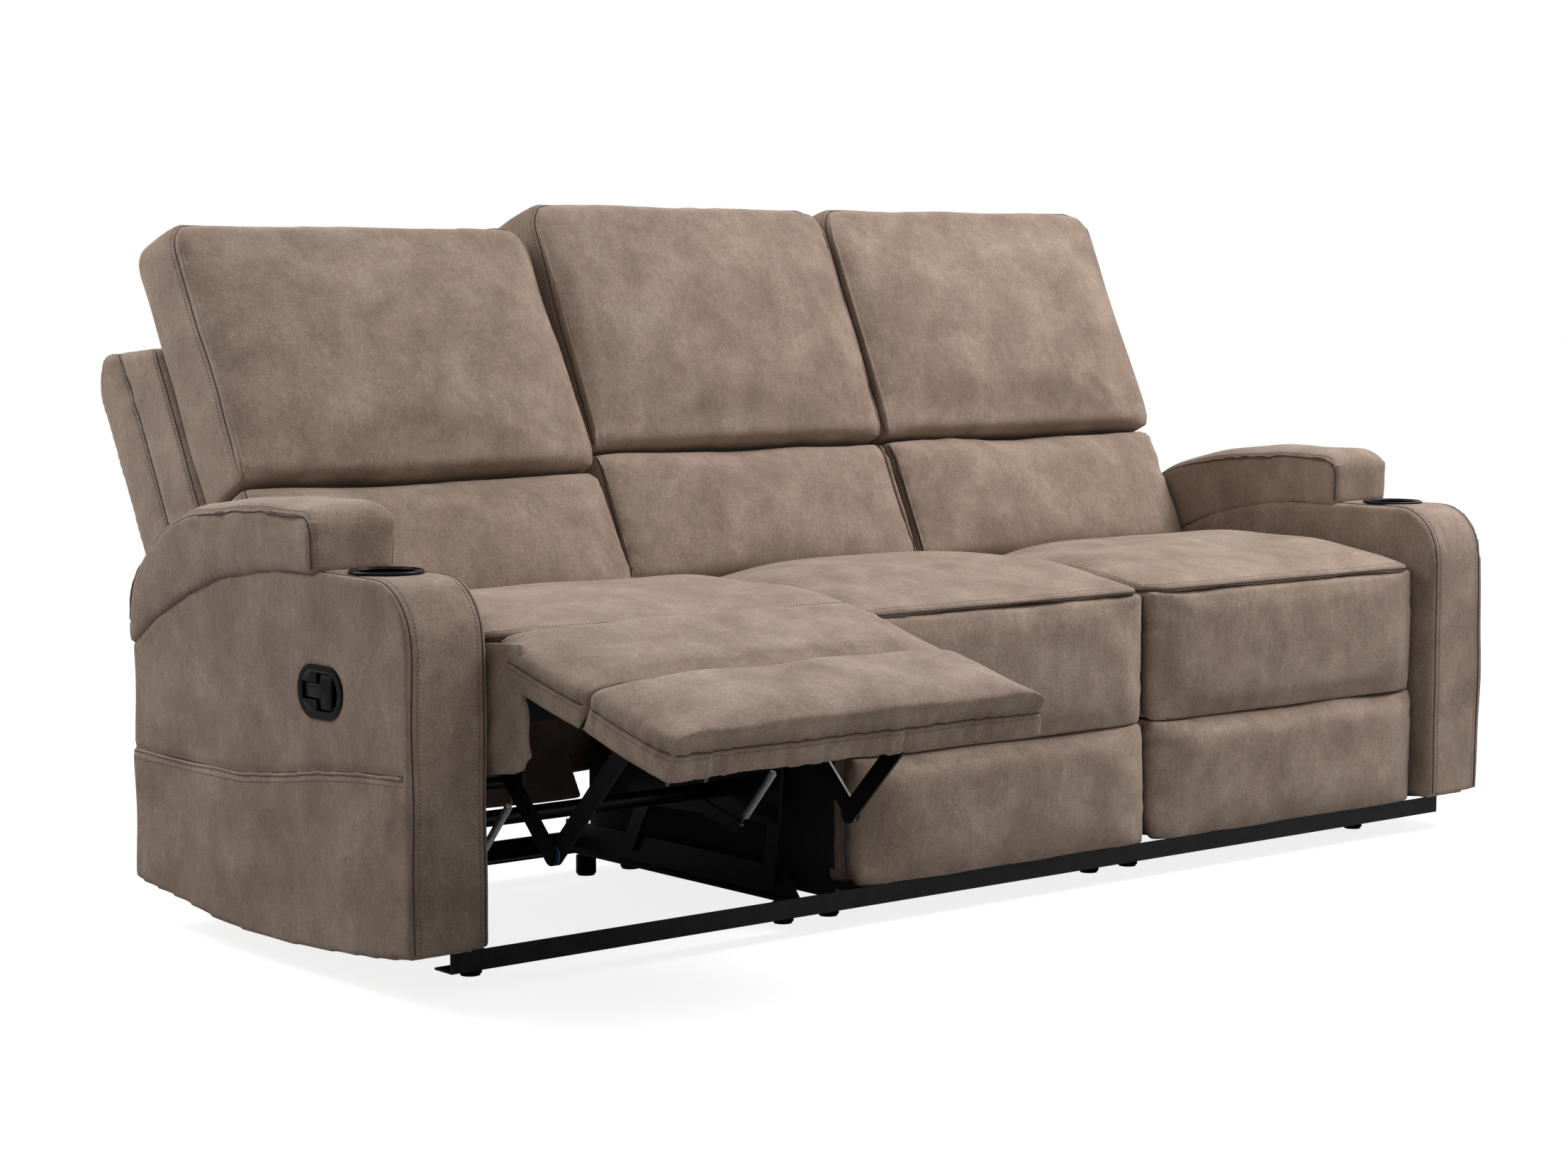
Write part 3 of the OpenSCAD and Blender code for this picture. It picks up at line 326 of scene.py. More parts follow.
def from_block(name, cuts, shape, voxel, rounding):
    """A cube cut fine, with shape() giving each point of the unit cube its place."""
    obj = start(name, bpy.ops.mesh.primitive_cube_add, size=1, location=(0.5, 0.5, 0.5))
    bpy.ops.object.transform_apply(location=True)
    edit(bpy.ops.mesh.subdivide, number_cuts=cuts)
    move_points(obj, np.stack(shape(*points_of(obj).T), 1))
    remesh(obj, voxel, rounding)
    return obj


def smoothstep(x, a, b):
    f = np.clip((x - a) / (b - a), 0, 1)
    return f * f * (3 - 2 * f)


def roll(d, r):
    """Height of a quarter round of radius r at distance d inside its edge, from 0 to 1."""
    f = np.clip(1 - d / r, 0, 1)
    return np.sqrt(1 - f * f)


def ripples(co, wave, seed, stretch=(1, 1, 1)):
    """Soft uneven waves from -1 to 1 or so, about a wave long, the same each run."""
    rng = np.random.default_rng(seed)
    total = np.zeros(len(co))
    for _ in range(8):
        way = rng.normal(size=3)
        way /= np.linalg.norm(way)
        long = wave * rng.uniform(0.7, 1.6)
        total += np.sin(co @ (way * stretch) * tau / long + rng.uniform(0, tau))
    return total / 3.2


def uneven(obj, waves, seed):
    """Slight waves in a cover, as in hand-cut foam."""
    amount, wave = waves
    co = points_of(obj)
    move_points(obj, co + normals_of(obj) * (amount * ripples(co, wave, seed))[:, None])


def tree_of(points):
    """A search tree of points."""
    tree = KDTree(len(points))
    for i, p in enumerate(points):
        tree.insert(p, i)
    tree.balance()
    return tree


def run_along(path):
    """Each point's distance along a path."""
    return np.concatenate([[0], np.cumsum(np.linalg.norm(np.diff(path, axis=0), axis=1))])


def resample(path, pitch):
    path = np.asarray(path, float)
    run = run_along(path)
    at = np.linspace(0, run[-1], max(2, int(round(run[-1] / pitch)) + 1))
    return np.stack([np.interp(at, run, path[:, k]) for k in range(3)], 1)


def near_path(obj, path, reach):
    """Indices of the points within reach of a path, their distances and places along it."""
    co = points_of(obj)
    path = np.asarray(path)
    inside = np.all((co > path.min(0) - reach) & (co < path.max(0) + reach), axis=1)
    tree, run = tree_of(path), run_along(path)
    found, gaps, along = [], [], []
    for i in np.nonzero(inside)[0]:
        _, k, gap = tree.find(co[i])
        if gap < reach:
            found.append(i)
            gaps.append(gap)
            along.append(run[k])
    return np.array(found, int), np.array(gaps), np.array(along)


def press_seam(obj, path, depth):
    """Sinks a line into a cover and marks it with painted shade, which darkens the fabric along the seam's
    valley.
    """
    found, gaps, _ = near_path(obj, path, PRESS_WIDTH * 2.2)
    if not len(found):
        return
    co, out = points_of(obj), normals_of(obj)
    share = np.exp(-((gaps / PRESS_WIDTH) ** 2))
    co[found] -= out[found] * (depth * share)[:, None]
    move_points(obj, co)
    # the seam mark is painted shade, which the fabric's colour darkens along the valley
    attributes = obj.data.attributes
    marks = attributes.get("seam") or attributes.new("seam", "FLOAT", "POINT")
    values = np.empty(len(co), np.float32)
    marks.data.foreach_get("value", values)
    values[found] = np.maximum(values[found], PAINTED_SEAM_SHADE * share)
    marks.data.foreach_set("value", values)


def gather(obj, path, folds, seed):
    """Small folds that run away from a seam, given by their height, reach and pitch."""
    height, reach, pitch = folds
    found, gaps, along = near_path(obj, path, reach * 3)
    if not len(found):
        return
    rng = np.random.default_rng(seed)
    waves = np.zeros(len(found))
    for _ in range(5):
        long = pitch * rng.uniform(0.8, 2.6)
        lean = rng.uniform(-0.35, 0.35)
        waves += np.sin((along + gaps * lean) * tau / long + rng.uniform(0, tau))
    strength = 0.55 + 0.45 * np.sin(along * tau / (pitch * 9) + rng.uniform(0, tau))
    co, out = points_of(obj), normals_of(obj)
    co[found] += out[found] * (height * waves / 2.5 * strength * np.exp(-gaps / reach))[:, None]
    move_points(obj, co)


def trace(obj, path, pitch=TRACE_PITCH):
    """A path laid on a cover: its points and the outward directions there."""
    bpy.context.view_layer.update()
    tree = BVHTree.FromObject(obj, bpy.context.evaluated_depsgraph_get())
    hits = [tree.find_nearest(Vector(p)) for p in resample(path, pitch)]
    return np.array([hit[0] for hit in hits]), np.array([hit[1] for hit in hits])


def even_line(line, reach):
    """A line without its small wiggles, with its ends kept."""
    reach = min(reach, (len(line) - 1) // 2)
    before = 2 * line[:1] - line[reach:0:-1]
    after = 2 * line[-1:] - line[-2:-reach - 2:-1]
    wide = np.concatenate([before, line, after])
    kernel = np.ones(2 * reach + 1) / (2 * reach + 1)
    return np.stack([np.convolve(wide[:, k], kernel, "valid") for k in range(3)], 1)


def placed(piece, points, *ways):
    """Points and directions of a piece, moved to where the piece stands."""
    turn = np.array(piece.place.to_3x3()).T
    return (points @ turn + np.array(piece.place.translation), *(way @ turn for way in ways))


def topstitch(piece, path):
    """Stitches along a path on a cover. They are made in one piece for each body."""
    points, outward = trace(piece.obj, path, sizes().stitch_pitch)
    run = placed(piece, points, np.gradient(points, axis=0), outward)
    THREADS.setdefault(piece.body, []).append(run)


def lay_cord(store, piece, path, radius, rise):
    """Keeps a cord along a path on a cover, with its middle raised above the cover by rise."""
    points, outward = trace(piece.obj, path, CORD_PITCH)
    store.setdefault(piece.body, []).append((*placed(piece, points + outward * rise), radius))


def sew(piece, path, folds=None, seed=0, depth=0.0020, stitch=None, calm=4):
    """Joins two panels along a path: gathers, a shallow valley with painted shade, a thin dark line of
    painted shadow and stitches beside it.
    """
    line, _ = trace(piece.obj, path)
    line, _ = trace(piece.obj, even_line(line, calm))
    if folds:
        gather(piece.obj, line, folds, seed)
    press_seam(piece.obj, line, depth)
    # a thin dark line of painted shadow in the seam's valley
    lay_cord(SEAM_SHADOW_LINES, piece, line, sizes().seam_shadow_radius, 0.0001)
    if stitch is not None:
        topstitch(piece, (line if np.ndim(stitch) == 1 else np.asarray(path)) + stitch)


def from_curve(name, lines, closed, **settings):
    """A mesh made from a curve; each line is its points and their radius."""
    curve = bpy.data.curves.new(name, "CURVE")
    for key, value in settings.items():
        setattr(curve, key, value)
    for points, radius in lines:
        spline = curve.splines.new("POLY")
        spline.points.add(len(points) - 1)
        spline.use_cyclic_u = closed
        for at, p in zip(spline.points, points):
            at.co = (*p, 1)
            at.radius = radius
    add(name, curve)
    bpy.ops.object.convert(target="MESH")
    obj = bpy.context.active_object
    obj.name = obj.data.name = name
    return obj


def tube(name, paths, sides):
    """Round tubes along paths, each (points, radius), as one mesh."""
    obj = from_curve(name, paths, False, dimensions="3D", bevel_depth=1.0, bevel_resolution=sides // 2 - 2,
                     use_fill_caps=True)
    bpy.ops.object.shade_smooth()
    return obj


def curve_round(corner, radius, first, last, n=8):
    """Points [a, b] on a round from one angle to another."""
    return [np.array(corner) + radius * np.array([cos(t), sin(t)]) for t in np.linspace(first, last, n)]


# Stuffing
def stuff(obj, held, swell, x, y, z):
    """Marks a cover for filling: held points stay, and x, y and z are the limits that keep it clear."""
    low, high = zip(x, y, z)
    STUFFED.append((obj, points_of(obj), held, low, high, swell * sizes().swell))


def settle(obj, shift, held, rounds=40, creases=0.18):
    """Evens out the bulge of a filled cover and keeps a share of its small creases."""
    ends = np.empty(len(obj.data.edges) * 2, np.int32)
    obj.data.edges.foreach_get("vertices", ends)
    a, b = ends[0::2], ends[1::2]
    size = len(shift)
    count = np.maximum(np.bincount(ends, minlength=size), 1)
    even = shift.copy()
    for _ in range(rounds):
        even = np.stack([(np.bincount(a, even[b, k], size) + np.bincount(b, even[a, k], size)) / count
                         for k in range(3)], 1)
        even[held] = 0
    return even * (1.15 - creases) + shift * creases


def held_gaps(rest, held):
    """Each point's distance from the nearest point that is held."""
    tree = tree_of(rest[held])
    return np.array([tree.find(p)[2] for p in rest])


def fill_covers():
    """Runs the filling of all covers together and leaves plain meshes."""
    scene = bpy.context.scene
    for obj, _, held, _, _, _ in STUFFED:
        group = obj.vertex_groups.new(name="held")
        group.add(np.nonzero(held)[0].tolist(), 1.0, "REPLACE")
        mod = obj.modifiers.new("Filling", "CLOTH")
        cloth = mod.settings
        cloth.quality = 4
        cloth.mass = 0.35
        cloth.bending_stiffness = 1.5
        cloth.use_pressure = True
        cloth.uniform_pressure_force = sizes().pressure
        cloth.effector_weights.gravity = 0
        cloth.vertex_group_mass = group.name
        mod.collision_settings.use_collision = False
        mod.point_cache.frame_end = sizes().steps
    for step in range(1, sizes().steps + 1):
        scene.frame_set(step)
    for obj, rest, held, low, high, swell in STUFFED:
        select_only(obj)
        bpy.ops.object.modifier_apply(modifier="Filling")
        obj.vertex_groups.clear()
        shift = settle(obj, points_of(obj) - rest, held)
        far = np.linalg.norm(shift, axis=1)
        keep = swell * np.tanh(far / swell) / np.maximum(far, 1e-9)
        keep *= smoothstep(held_gaps(rest, held), 0, 0.035)
        move_points(obj, np.clip(rest + shift * keep[:, None], low, high))
        apply_modifier(obj, "SMOOTH", factor=0.5, iterations=2)
    scene.frame_set(1)


# Finishes
def rgba(tone):
    """A grey level or a colour, with full cover."""
    return (*np.broadcast_to(tone, 3), 1)


def feed(tree, socket, value):
    """Gives a socket another node's output, a number or a colour."""
    if isinstance(value, bpy.types.NodeSocket):
        tree.links.new(value, socket)
    else:
        socket.default_value = rgba(value) if socket.type == "RGBA" else value


def node(tree, kind, inputs=(), **settings):
    """A shader node with its settings made and its inputs fed."""
    made = tree.nodes.new(f"ShaderNode{kind}")
    for name, value in settings.items():
        setattr(made, name, value)
    for name, value in dict(inputs).items():
        feed(tree, made.inputs[name], value)
    return made


def noise(tree, where, scale, detail, roughness=0.5, distortion=0.0):
    inputs = {"Vector": where, "Scale": scale, "Detail": detail}
    inputs.update({"Roughness": roughness, "Distortion": distortion})
    return node(tree, "TexNoise", inputs).outputs["Fac"]


def ramp(tree, value, *stops):
    """A gradient over a pattern; a stop is a place and a grey level or a colour."""
    made = node(tree, "ValToRGB", {"Fac": value})
    elements = made.color_ramp.elements
    for element, (at, tone) in zip((elements[0], elements[1]), (stops[0], stops[-1])):
        element.position = at
        element.color = rgba(tone)
    for at, tone in stops[1:-1]:
        elements.new(at).color = rgba(tone)
    return made.outputs[0]


def mix(tree, kind, factor, a, b):
    return node(tree, "Mix", {"Factor": factor, 6: a, 7: b}, data_type="RGBA", blend_type=kind).outputs[2]


def overlay(tree, share, base, pattern, place, tone):
    """Lays a pattern over a colour; place and tone are its dark end, and the light end mirrors them."""
    return mix(tree, "OVERLAY", share, base, ramp(tree, pattern, (place, tone), (1 - place, 1 - tone)))


def bump(tree, height, strength, distance, **below):
    inputs = {"Height": height, "Strength": strength, "Distance": distance, **below}
    return node(tree, "Bump", inputs).outputs[0]


def finish(name, paint):
    """A finish; paint(tree, where) gives the shader's inputs, and where is a place in the object."""
    mat = bpy.data.materials.new(name)
    mat.use_nodes = True
    tree = mat.node_tree
    tree.nodes.clear()
    shader = node(tree, "BsdfPrincipled", paint(tree, node(tree, "TexCoord").outputs["Object"]))
    node(tree, "OutputMaterial", {"Surface": shader.outputs[0]})
    return mat


def plain_finish(name, pattern, tones, rough, grain=None, more=()):
    """A finish with one noise in its colour and its gloss, and a fine grain in its surface."""
    def paint(tree, where):
        marks = noise(tree, where, *pattern)
        inputs = {"Base Color": ramp(tree, marks, *tones), "Roughness": rough, **dict(more)}
        if isinstance(rough, tuple):
            inputs["Roughness"] = ramp(tree, marks, (0.3, rough[0]), (0.7, rough[1]))
        if grain:
            scale, detail, strength, distance = grain
            inputs["Normal"] = bump(tree, noise(tree, where, scale, detail), strength, distance)
        return inputs
    return finish(name, paint)


def microfibre():
    """Brushed microfibre: soft clouds, patches where the nap lies down, a short pile, and painted shade
    along the seams.
    """
    c = colours()

    def paint(tree, where):
        hanging = node(tree, "Mapping", {"Vector": where, "Scale": (1.0, 1.0, 0.5)}).outputs[0]
        clouds = noise(tree, where, 13.0, 6.0, 0.60, 0.3)
        base = ramp(tree, clouds, (0.36, c.fabric_dark), (0.51, c.fabric), (0.68, c.fabric_light))
        patches = noise(tree, hanging, 32.0, 6.0, 0.72, 0.5)
        flecks = noise(tree, hanging, 150.0, 4.0, 0.7, 0.3)
        fine = noise(tree, where, 520.0, 3.0, 0.7)
        patched = overlay(tree, 0.40, base, patches, 0.34, 0.38)
        flecked = overlay(tree, 0.34, patched, flecks, 0.34, 0.36)
        grained = overlay(tree, 0.60, flecked, fine, 0.32, 0.28)
        # painted shade along the seams: the seam mark multiplies the fabric's colour by a dark brown where
        # the seams' valleys lie in shade
        seam = node(tree, "Attribute", attribute_name="seam").outputs["Fac"]
        pile = bump(tree, noise(tree, where, 1300.0, 2.0, 0.6), 0.45, 0.0006)
        return {"Base Color": mix(tree, "MULTIPLY", seam, grained, (0.50, 0.46, 0.44)),
                "Roughness": ramp(tree, patches, (0.3, 0.84), (0.7, 0.96)),
                "Sheen Weight": 0.22, "Sheen Roughness": 0.45, "Sheen Tint": (0.95, 0.86, 0.78),
                "Specular IOR Level": 0.20, "Normal": bump(tree, flecks, 0.22, 0.0008, Normal=pile)}
    return finish("brushed_microfibre", paint)


def nonwoven():
    return plain_finish("nonwoven_lining", (260.0, 4.0), ((0.3, 0.004), (0.7, 0.016)), 0.9,
                        (700.0, 3.0, 0.5, 0.0008))


def painted_steel():
    dark = colours().steel
    worn = [v * 1.6 for v in dark]
    return plain_finish("black_painted_steel", (55.0, 5.0, 0.65), ((0.35, dark), (0.70, worn)),
                        (0.28, 0.46), (900.0, 2.0, 0.12, 0.0003),
                        {"Specular IOR Level": 0.18, "Coat Weight": 0.05, "Coat Roughness": 0.2})


def bright_zinc():
    zinc = colours().zinc
    return plain_finish("bright_zinc", (240.0, 4.0), ((0.3, [v * 0.8 for v in zinc]), (0.7, zinc)),
                        (0.22, 0.42), (240.0, 4.0, 0.08, 0.0003), {"Metallic": 0.75})


def moulded_plastic(name, tone, rough, grain):
    lighter = [min(1, v * 1.25 + 0.001) for v in tone]
    return plain_finish(name, (90.0, 4.0, 0.6), ((0.3, tone), (0.7, lighter)), rough,
                        (grain, 2.0, 0.15, 0.0002), {"Specular IOR Level": 0.12})


def sawn_wood():
    def paint(tree, where):
        rings = node(tree, "TexWave", {"Vector": where, "Scale": 14.0, "Distortion": 6.0, "Detail": 3.0})
        rings = rings.outputs["Fac"]
        return {"Base Color": ramp(tree, rings, (0.2, (0.42, 0.27, 0.13)), (0.8, (0.66, 0.48, 0.28))),
                "Roughness": 0.75, "Normal": bump(tree, rings, 0.3, 0.0006)}
    return finish("sawn_pine", paint)


# also makes the finish of the painted seam shadow, the dark lines in the seams
def sewing_thread(name, tone):
    return plain_finish(name, (600.0, 2.0), ((0.3, [v * 0.7 for v in tone]), (0.7, tone)), 0.7)


def give(obj, look):
    obj.data.materials.clear()
    obj.data.materials.append(FINISH[look])


def dress(piece, look="upholstery", nodes=()):
    """Puts a piece in its place with its finish, body and slot, and the solids it stands for."""
    obj = piece.obj
    obj.data.transform(piece.place)
    obj.data.update()
    give(obj, look)
    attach(obj, piece.body)
    if nodes:
        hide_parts(*nodes)


# Shapes of the covers
def arch(half, shape, low, depth):
    """Up one side of a head cushion, round its top corners and down the other side, at one depth."""
    r = shape.radius
    left = curve_round((-half + r, shape.high - r), r, pi, pi / 2)
    right = curve_round((half - r, shape.high - r), r, pi / 2, 0)
    return np.array([(x, depth, z) for x, z in [(-half, low), *left, *right, (half, low)]])


def arch_gap(x, z, half, shape):
    """How far a point lies inside that arch, seen from the front."""
    cx, cz = np.abs(x) - (half - shape.radius), z - (shape.high - shape.radius)
    corner = shape.radius - np.hypot(np.maximum(cx, 0), np.maximum(cz, 0))
    side = np.where(cz > 0, corner, half - np.abs(x))
    return np.minimum(np.minimum(side, np.where(cx > 0, corner, shape.high - z)), z - shape.low)


def back_cushion(side, part):
    """The plain cover of a head or lumbar cushion."""
    solid = [f"{side}_{part}_cushion"]
    return from_solid(f"{side}_{part}_cover", solid, back_place(side), sizes().grain, 6, 0.004)


def crown_front(co, out, half, shape):
    """Crowns the front of a back cushion and lets its edges fall back."""
    x, t, s = co.T
    crown = roll(half - np.abs(x), shape.side_roll) * roll(shape.high - s, shape.top_roll)
    crown = crown * (shape.low_crown + (1 - shape.low_crown) * roll(s - shape.low, shape.low_roll))
    t += smoothstep(-out[:, 1], 0.3, 0.8) * (shape.sink - shape.crown * crown)


class SOFA_OT_finishes(bpy.types.Operator):
    """Makes the finishes and gives them to the solids that stay in view"""
    bl_idname = "sofa.finishes"
    bl_label = "Finishes"

    def execute(self, context):
        c = colours()
        FINISH.update(
            upholstery=microfibre(), lining=nonwoven(), black_steel=painted_steel(), zinc=bright_zinc(),
            black_plastic=moulded_plastic("gloss_black_plastic", c.plastic, (0.16, 0.30), 800.0),
            cable=moulded_plastic("cable_sheath", c.plastic, (0.45, 0.60), 1200.0),
            blue=moulded_plastic("blue_nylon", c.washer_blue, (0.30, 0.42), 900.0),
            yellow=moulded_plastic("yellow_nylon", c.washer_yellow, (0.30, 0.42), 900.0),
            wood=sawn_wood(), thread=sewing_thread("sewing_thread", c.thread),
            # the seam shadow finish is painted shadow, for the dark lines in the seams
            crease=sewing_thread("seam_shadow", c.crease))
        FINISH["black_board"] = FINISH["lining"]
        for name, solid in NODES.items():
            give(solid, "black_board" if name == "middle_seat_box" else SLOT_OF[name])
        return {"FINISHED"}


class SOFA_OT_head_cushions(bpy.types.Operator):
    """Head cushions: crowned fronts sewn to a boxing, with round upper corners"""
    bl_idname = "sofa.head_cushions"
    bl_label = "Head cushions"

    def execute(self, context):
        for side in SIDES:
            half = HALF[side]
            obj = back_cushion(side, "head")
            co, out = points_of(obj), normals_of(obj)
            x, t, s = co.T
            s += HEAD.rise * smoothstep(s, 0.40, HEAD.high - HEAD.rise)
            crown_front(co, out, half, HEAD)
            move_points(obj, co)
            edge = arch_gap(x, s, half, HEAD) < 0.018
            held = edge & (np.abs(t - HEAD.seam) < HOLD)
            held |= edge & (np.abs(t - HEAD.deep + 0.018) < HOLD)
            held |= t > HEAD.deep - 0.010
            stuff(obj, held, SWELL.head, (-half - EASE, half + EASE), (-inf, HEAD.deep),
                  (HEAD.low - 0.004, HEAD.high + 0.006))
        return {"FINISHED"}


class SOFA_OT_lumbar_cushions(bpy.types.Operator):
    """Lumbar cushions: full rolls between the head cushions and the seats"""
    bl_idname = "sofa.lumbar_cushions"
    bl_label = "Lumbar cushions"

    def execute(self, context):
        low, high, deep = LUMBAR.low, LUMBAR.high, LUMBAR.deep
        for side in SIDES:
            half = HALF[side]
            obj = back_cushion(side, "lumbar")
            co, out = points_of(obj), normals_of(obj)
            x, t, s = co.T
            crown_front(co, out, half, LUMBAR)
            s -= 0.011 * smoothstep(low + 0.060 - s, 0, 0.050) * smoothstep(0.080 - t, 0, 0.060)
            move_points(obj, co)
            held = (np.abs(x) > half - 0.018) & (np.abs(t - LUMBAR.seam) < HOLD)
            held |= t > deep - 0.010
            stuff(obj, held, SWELL.lumbar, (-half - EASE, half + EASE), (-inf, deep),
                  (low - 0.012, high - 0.001))
        return {"FINISHED"}


def seat_top(y):
    """Height of a seat cushion's top over its depth, before it is filled."""
    f = np.clip((y - SEAT.front) / (SEAT.rear - SEAT.front), 0, 1)
    rise = SEAT.welt + (SEAT.crown - SEAT.welt) * np.sin(pi / 2 * np.minimum(1, f / SEAT.peak)) ** 0.7
    past = np.clip((f - SEAT.peak) / (1 - SEAT.peak), 0, 1)
    return np.where(f < SEAT.peak, rise, SEAT.crown - (SEAT.crown - SEAT.rear_top) * past ** 2.5)


class SOFA_OT_seat_cushions(bpy.types.Operator):
    """Seat cushions: crowned tops held by a front seam under the lip and by side seams"""
    bl_idname = "sofa.seat_cushions"
    bl_label = "Seat cushions"

    def execute(self, context):
        for side in SIDES:
            half = HALF[side]

            def shape(a, b, c):
                u = 2 * a - 1
                x = np.sign(u) * (1 - (1 - np.abs(u)) ** 1.4) * (half - EASE)
                y = SEAT.front + EASE + b * (SEAT.rear - SEAT.front - 0.005)
                corner = np.maximum(0, np.abs(x) - half + SEAT.corner) / (SEAT.corner - EASE)
                y = y + (1 - b) ** 6 * 0.032 * corner ** 2
                step = 1 - smoothstep(y, SEAT.lip - 0.012, SEAT.lip)
                low = SEAT.floor + 0.001 + (SEAT.under_lip - SEAT.floor) * step
                drop = SEAT.side_drop * (1 - roll(half - np.abs(x), 0.060))
                high = np.maximum(seat_top(y) - 0.009 - drop, low + 0.009)
                return x, y, low + c * (high - low)
            obj = from_block(f"{side}_seat_cover", 44, shape, sizes().grain, 3)
            x, y, z = points_of(obj).T
            held = (np.abs(x) > half - 0.014) & (np.abs(z - seat_top(y) + SEAT.side_seam) < 0.007)
            held |= (y < SEAT.front + 0.016) & (z < SEAT.under_lip + 0.008)
            held |= (z < SEAT.floor + 0.008) | (z < SEAT.under_lip + 0.006) & (y < SEAT.lip)
            wide = half + 0.0035
            depth = (SEAT.front - 0.007, SEAT.rear + 0.004)
            stuff(obj, held, SWELL.seat, (-wide, wide), depth, (SEAT.floor, inf))
        return {"FINISHED"}


def pad_cover(side, name, pad):
    """A footrest pad, crowned in front, whose boxing wraps the edges of its board."""
    half = HALF[side]
    deep = (pad.high - pad.low) / 2
    middle = (pad.high + pad.low) / 2

    def shape(a, b, c):
        u, w = 2 * a - 1, 2 * c - 1
        z = middle + np.sign(w) * (1 - (1 - np.abs(w)) ** 1.5) * (deep - 0.001)
        pinch = 0.009 * (1 - roll(pad.high - z, 0.050)) + pad.low_pinch * (1 - roll(z - pad.low, 0.050))
        x = np.sign(u) * (1 - (1 - np.abs(u)) ** 1.5) * (half - 0.002 - pinch * (1 - b))
        full = roll(half - np.abs(x), 0.060)
        full = full * (1 - pad.low_dip * (1 - roll(z - pad.low, pad.low_roll)))
        full = full * (1 - pad.top_dip * (1 - roll(pad.high - z, pad.top_roll)))
        front = pad.seam - pad.crown * full
        edge = half - np.abs(x) < BOARD.edge
        if pad is FOOT:
            edge |= z - pad.low < BOARD.toe
        return x, front + b * (np.where(edge, BOARD.wrap, BOARD.front) - front), z
    obj = from_block(name, 38, shape, sizes().grain * 0.8, 4)
    x, y, z = points_of(obj).T
    rim = (half - np.abs(x) < 0.017) | (z < pad.low + 0.012) | (z > pad.high - 0.012)
    held = (y > BOARD.front - 0.006) | rim & (np.abs(y - pad.seam - 0.004) < HOLD)
    depth = (pad.seam - pad.crown - 0.012, BOARD.wrap)
    stuff(obj, held, SWELL.pad, (-half - EASE, half + EASE), depth, (pad.low, pad.high + 0.001))


class SOFA_OT_footrest_pads(bpy.types.Operator):
    """Calf and foot pads of the footrests, and the same panels on the middle seat"""
    bl_idname = "sofa.footrest_pads"
    bl_label = "Footrest pads"

    def execute(self, context):
        for side in SIDES:
            pad_cover(side, f"{side}_calf_cover", CALF)
            pad_cover(side, f"{side}_foot_cover", FOOT)
        return {"FINISHED"}


class SOFA_OT_arm_pads(bpy.types.Operator):
    """Raised arm pads: a crowned top panel between two side boxings"""
    bl_idname = "sofa.arm_pads"
    bl_label = "Arm pads"

    def execute(self, context):
        for side, way in WAY.items():
            name = f"{side}_arm_pad"
            obj = from_solid(f"{name}_cover", [name], ARM_PLACE, GRAIN.arm_pad, 12, 0.001)
            co, out = points_of(obj), normals_of(obj)
            x, y = np.abs(co[:, 0]), co[:, 1]
            up = smoothstep(out[:, 2], 0.1, 0.7)
            across = np.minimum(x - PAD.inner, PAD.outer - x)
            soft = roll(across, 0.034) * roll(y - PAD.front, 0.034)
            co[:, 2] += up * (0.008 * roll(across, 0.060) - 0.014 * (1 - soft))
            y -= smoothstep(-out[:, 1], 0.3, 0.8) * 0.005 * roll(across, 0.050)
            under = (out[:, 2] < -0.3) & (y < 0.68)
            co[under, 2] -= 0.005
            move_points(obj, co)
            seam = (across < 0.010) & ((out[:, 2] > 0.2) | (out[:, 1] < -0.3))
            width = sorted((way * (PAD.inner - EASE), way * (PAD.outer + 0.006)))
            stuff(obj, seam | under, SWELL.arm_pad, width, (0.193, 0.700), (0.385, inf))
        return {"FINISHED"}


class SOFA_OT_fill(bpy.types.Operator):
    """Fills the cushions and pads until their covers stand taut"""
    bl_idname = "sofa.fill"
    bl_label = "Fill the covers"

    def execute(self, context):
        fill_covers()
        return {"FINISHED"}


# Sewing
def cover_of(side, part, moving, place):
    """A filled cover, its body and its place."""
    return Piece(bpy.data.objects[f"{side}_{part}_cover"], body_of(side, moving), place(side))


def sew_head(side, k):
    half = HALF[side]
    piece = cover_of(side, "head", "back", back_place)
    uneven(piece.obj, WAVES.head, 20 + k)
    low = HEAD.low + 0.006
    bottom = np.linspace((-half + 0.02, 0.004, low), (half - 0.02, 0.004, low), 60)
    gather(piece.obj, bottom, FOLDS.head_low, 60 + k)
    outline = arch(half, HEAD, HEAD.low + 0.012, HEAD.seam)
    sew(piece, outline, FOLDS.head_seam, 40 + k, 0.0024, (0, 0.009, 0))
    for x in (-half + 0.004, half - 0.004):
        corner = np.linspace((x, -0.004, HEAD.low + 0.012), (x, 0.018, HEAD.low + 0.012), 8)
        gather(piece.obj, corner, FOLDS.head_corner, 66 + k)
    dress(piece, nodes=[f"{side}_head_cushion"])


def sew_lumbar(side, k):
    half = HALF[side]
    piece = cover_of(side, "lumbar", "back", back_place)
    uneven(piece.obj, WAVES.lumbar, 80 + k)
    high = LUMBAR.high - 0.006
    top = np.linspace((-half + 0.02, 0.006, high), (half - 0.02, 0.006, high), 60)
    gather(piece.obj, top, FOLDS.lumbar_top, 100 + k)
    for x in (-half, half):
        end = np.linspace((x, LUMBAR.seam, LUMBAR.low), (x, LUMBAR.seam, LUMBAR.high), 30)
        sew(piece, end, FOLDS.lumbar_end, 90 + k, 0.0026, (0, 0.009, 0))
    dress(piece, nodes=[f"{side}_lumbar_cushion"])


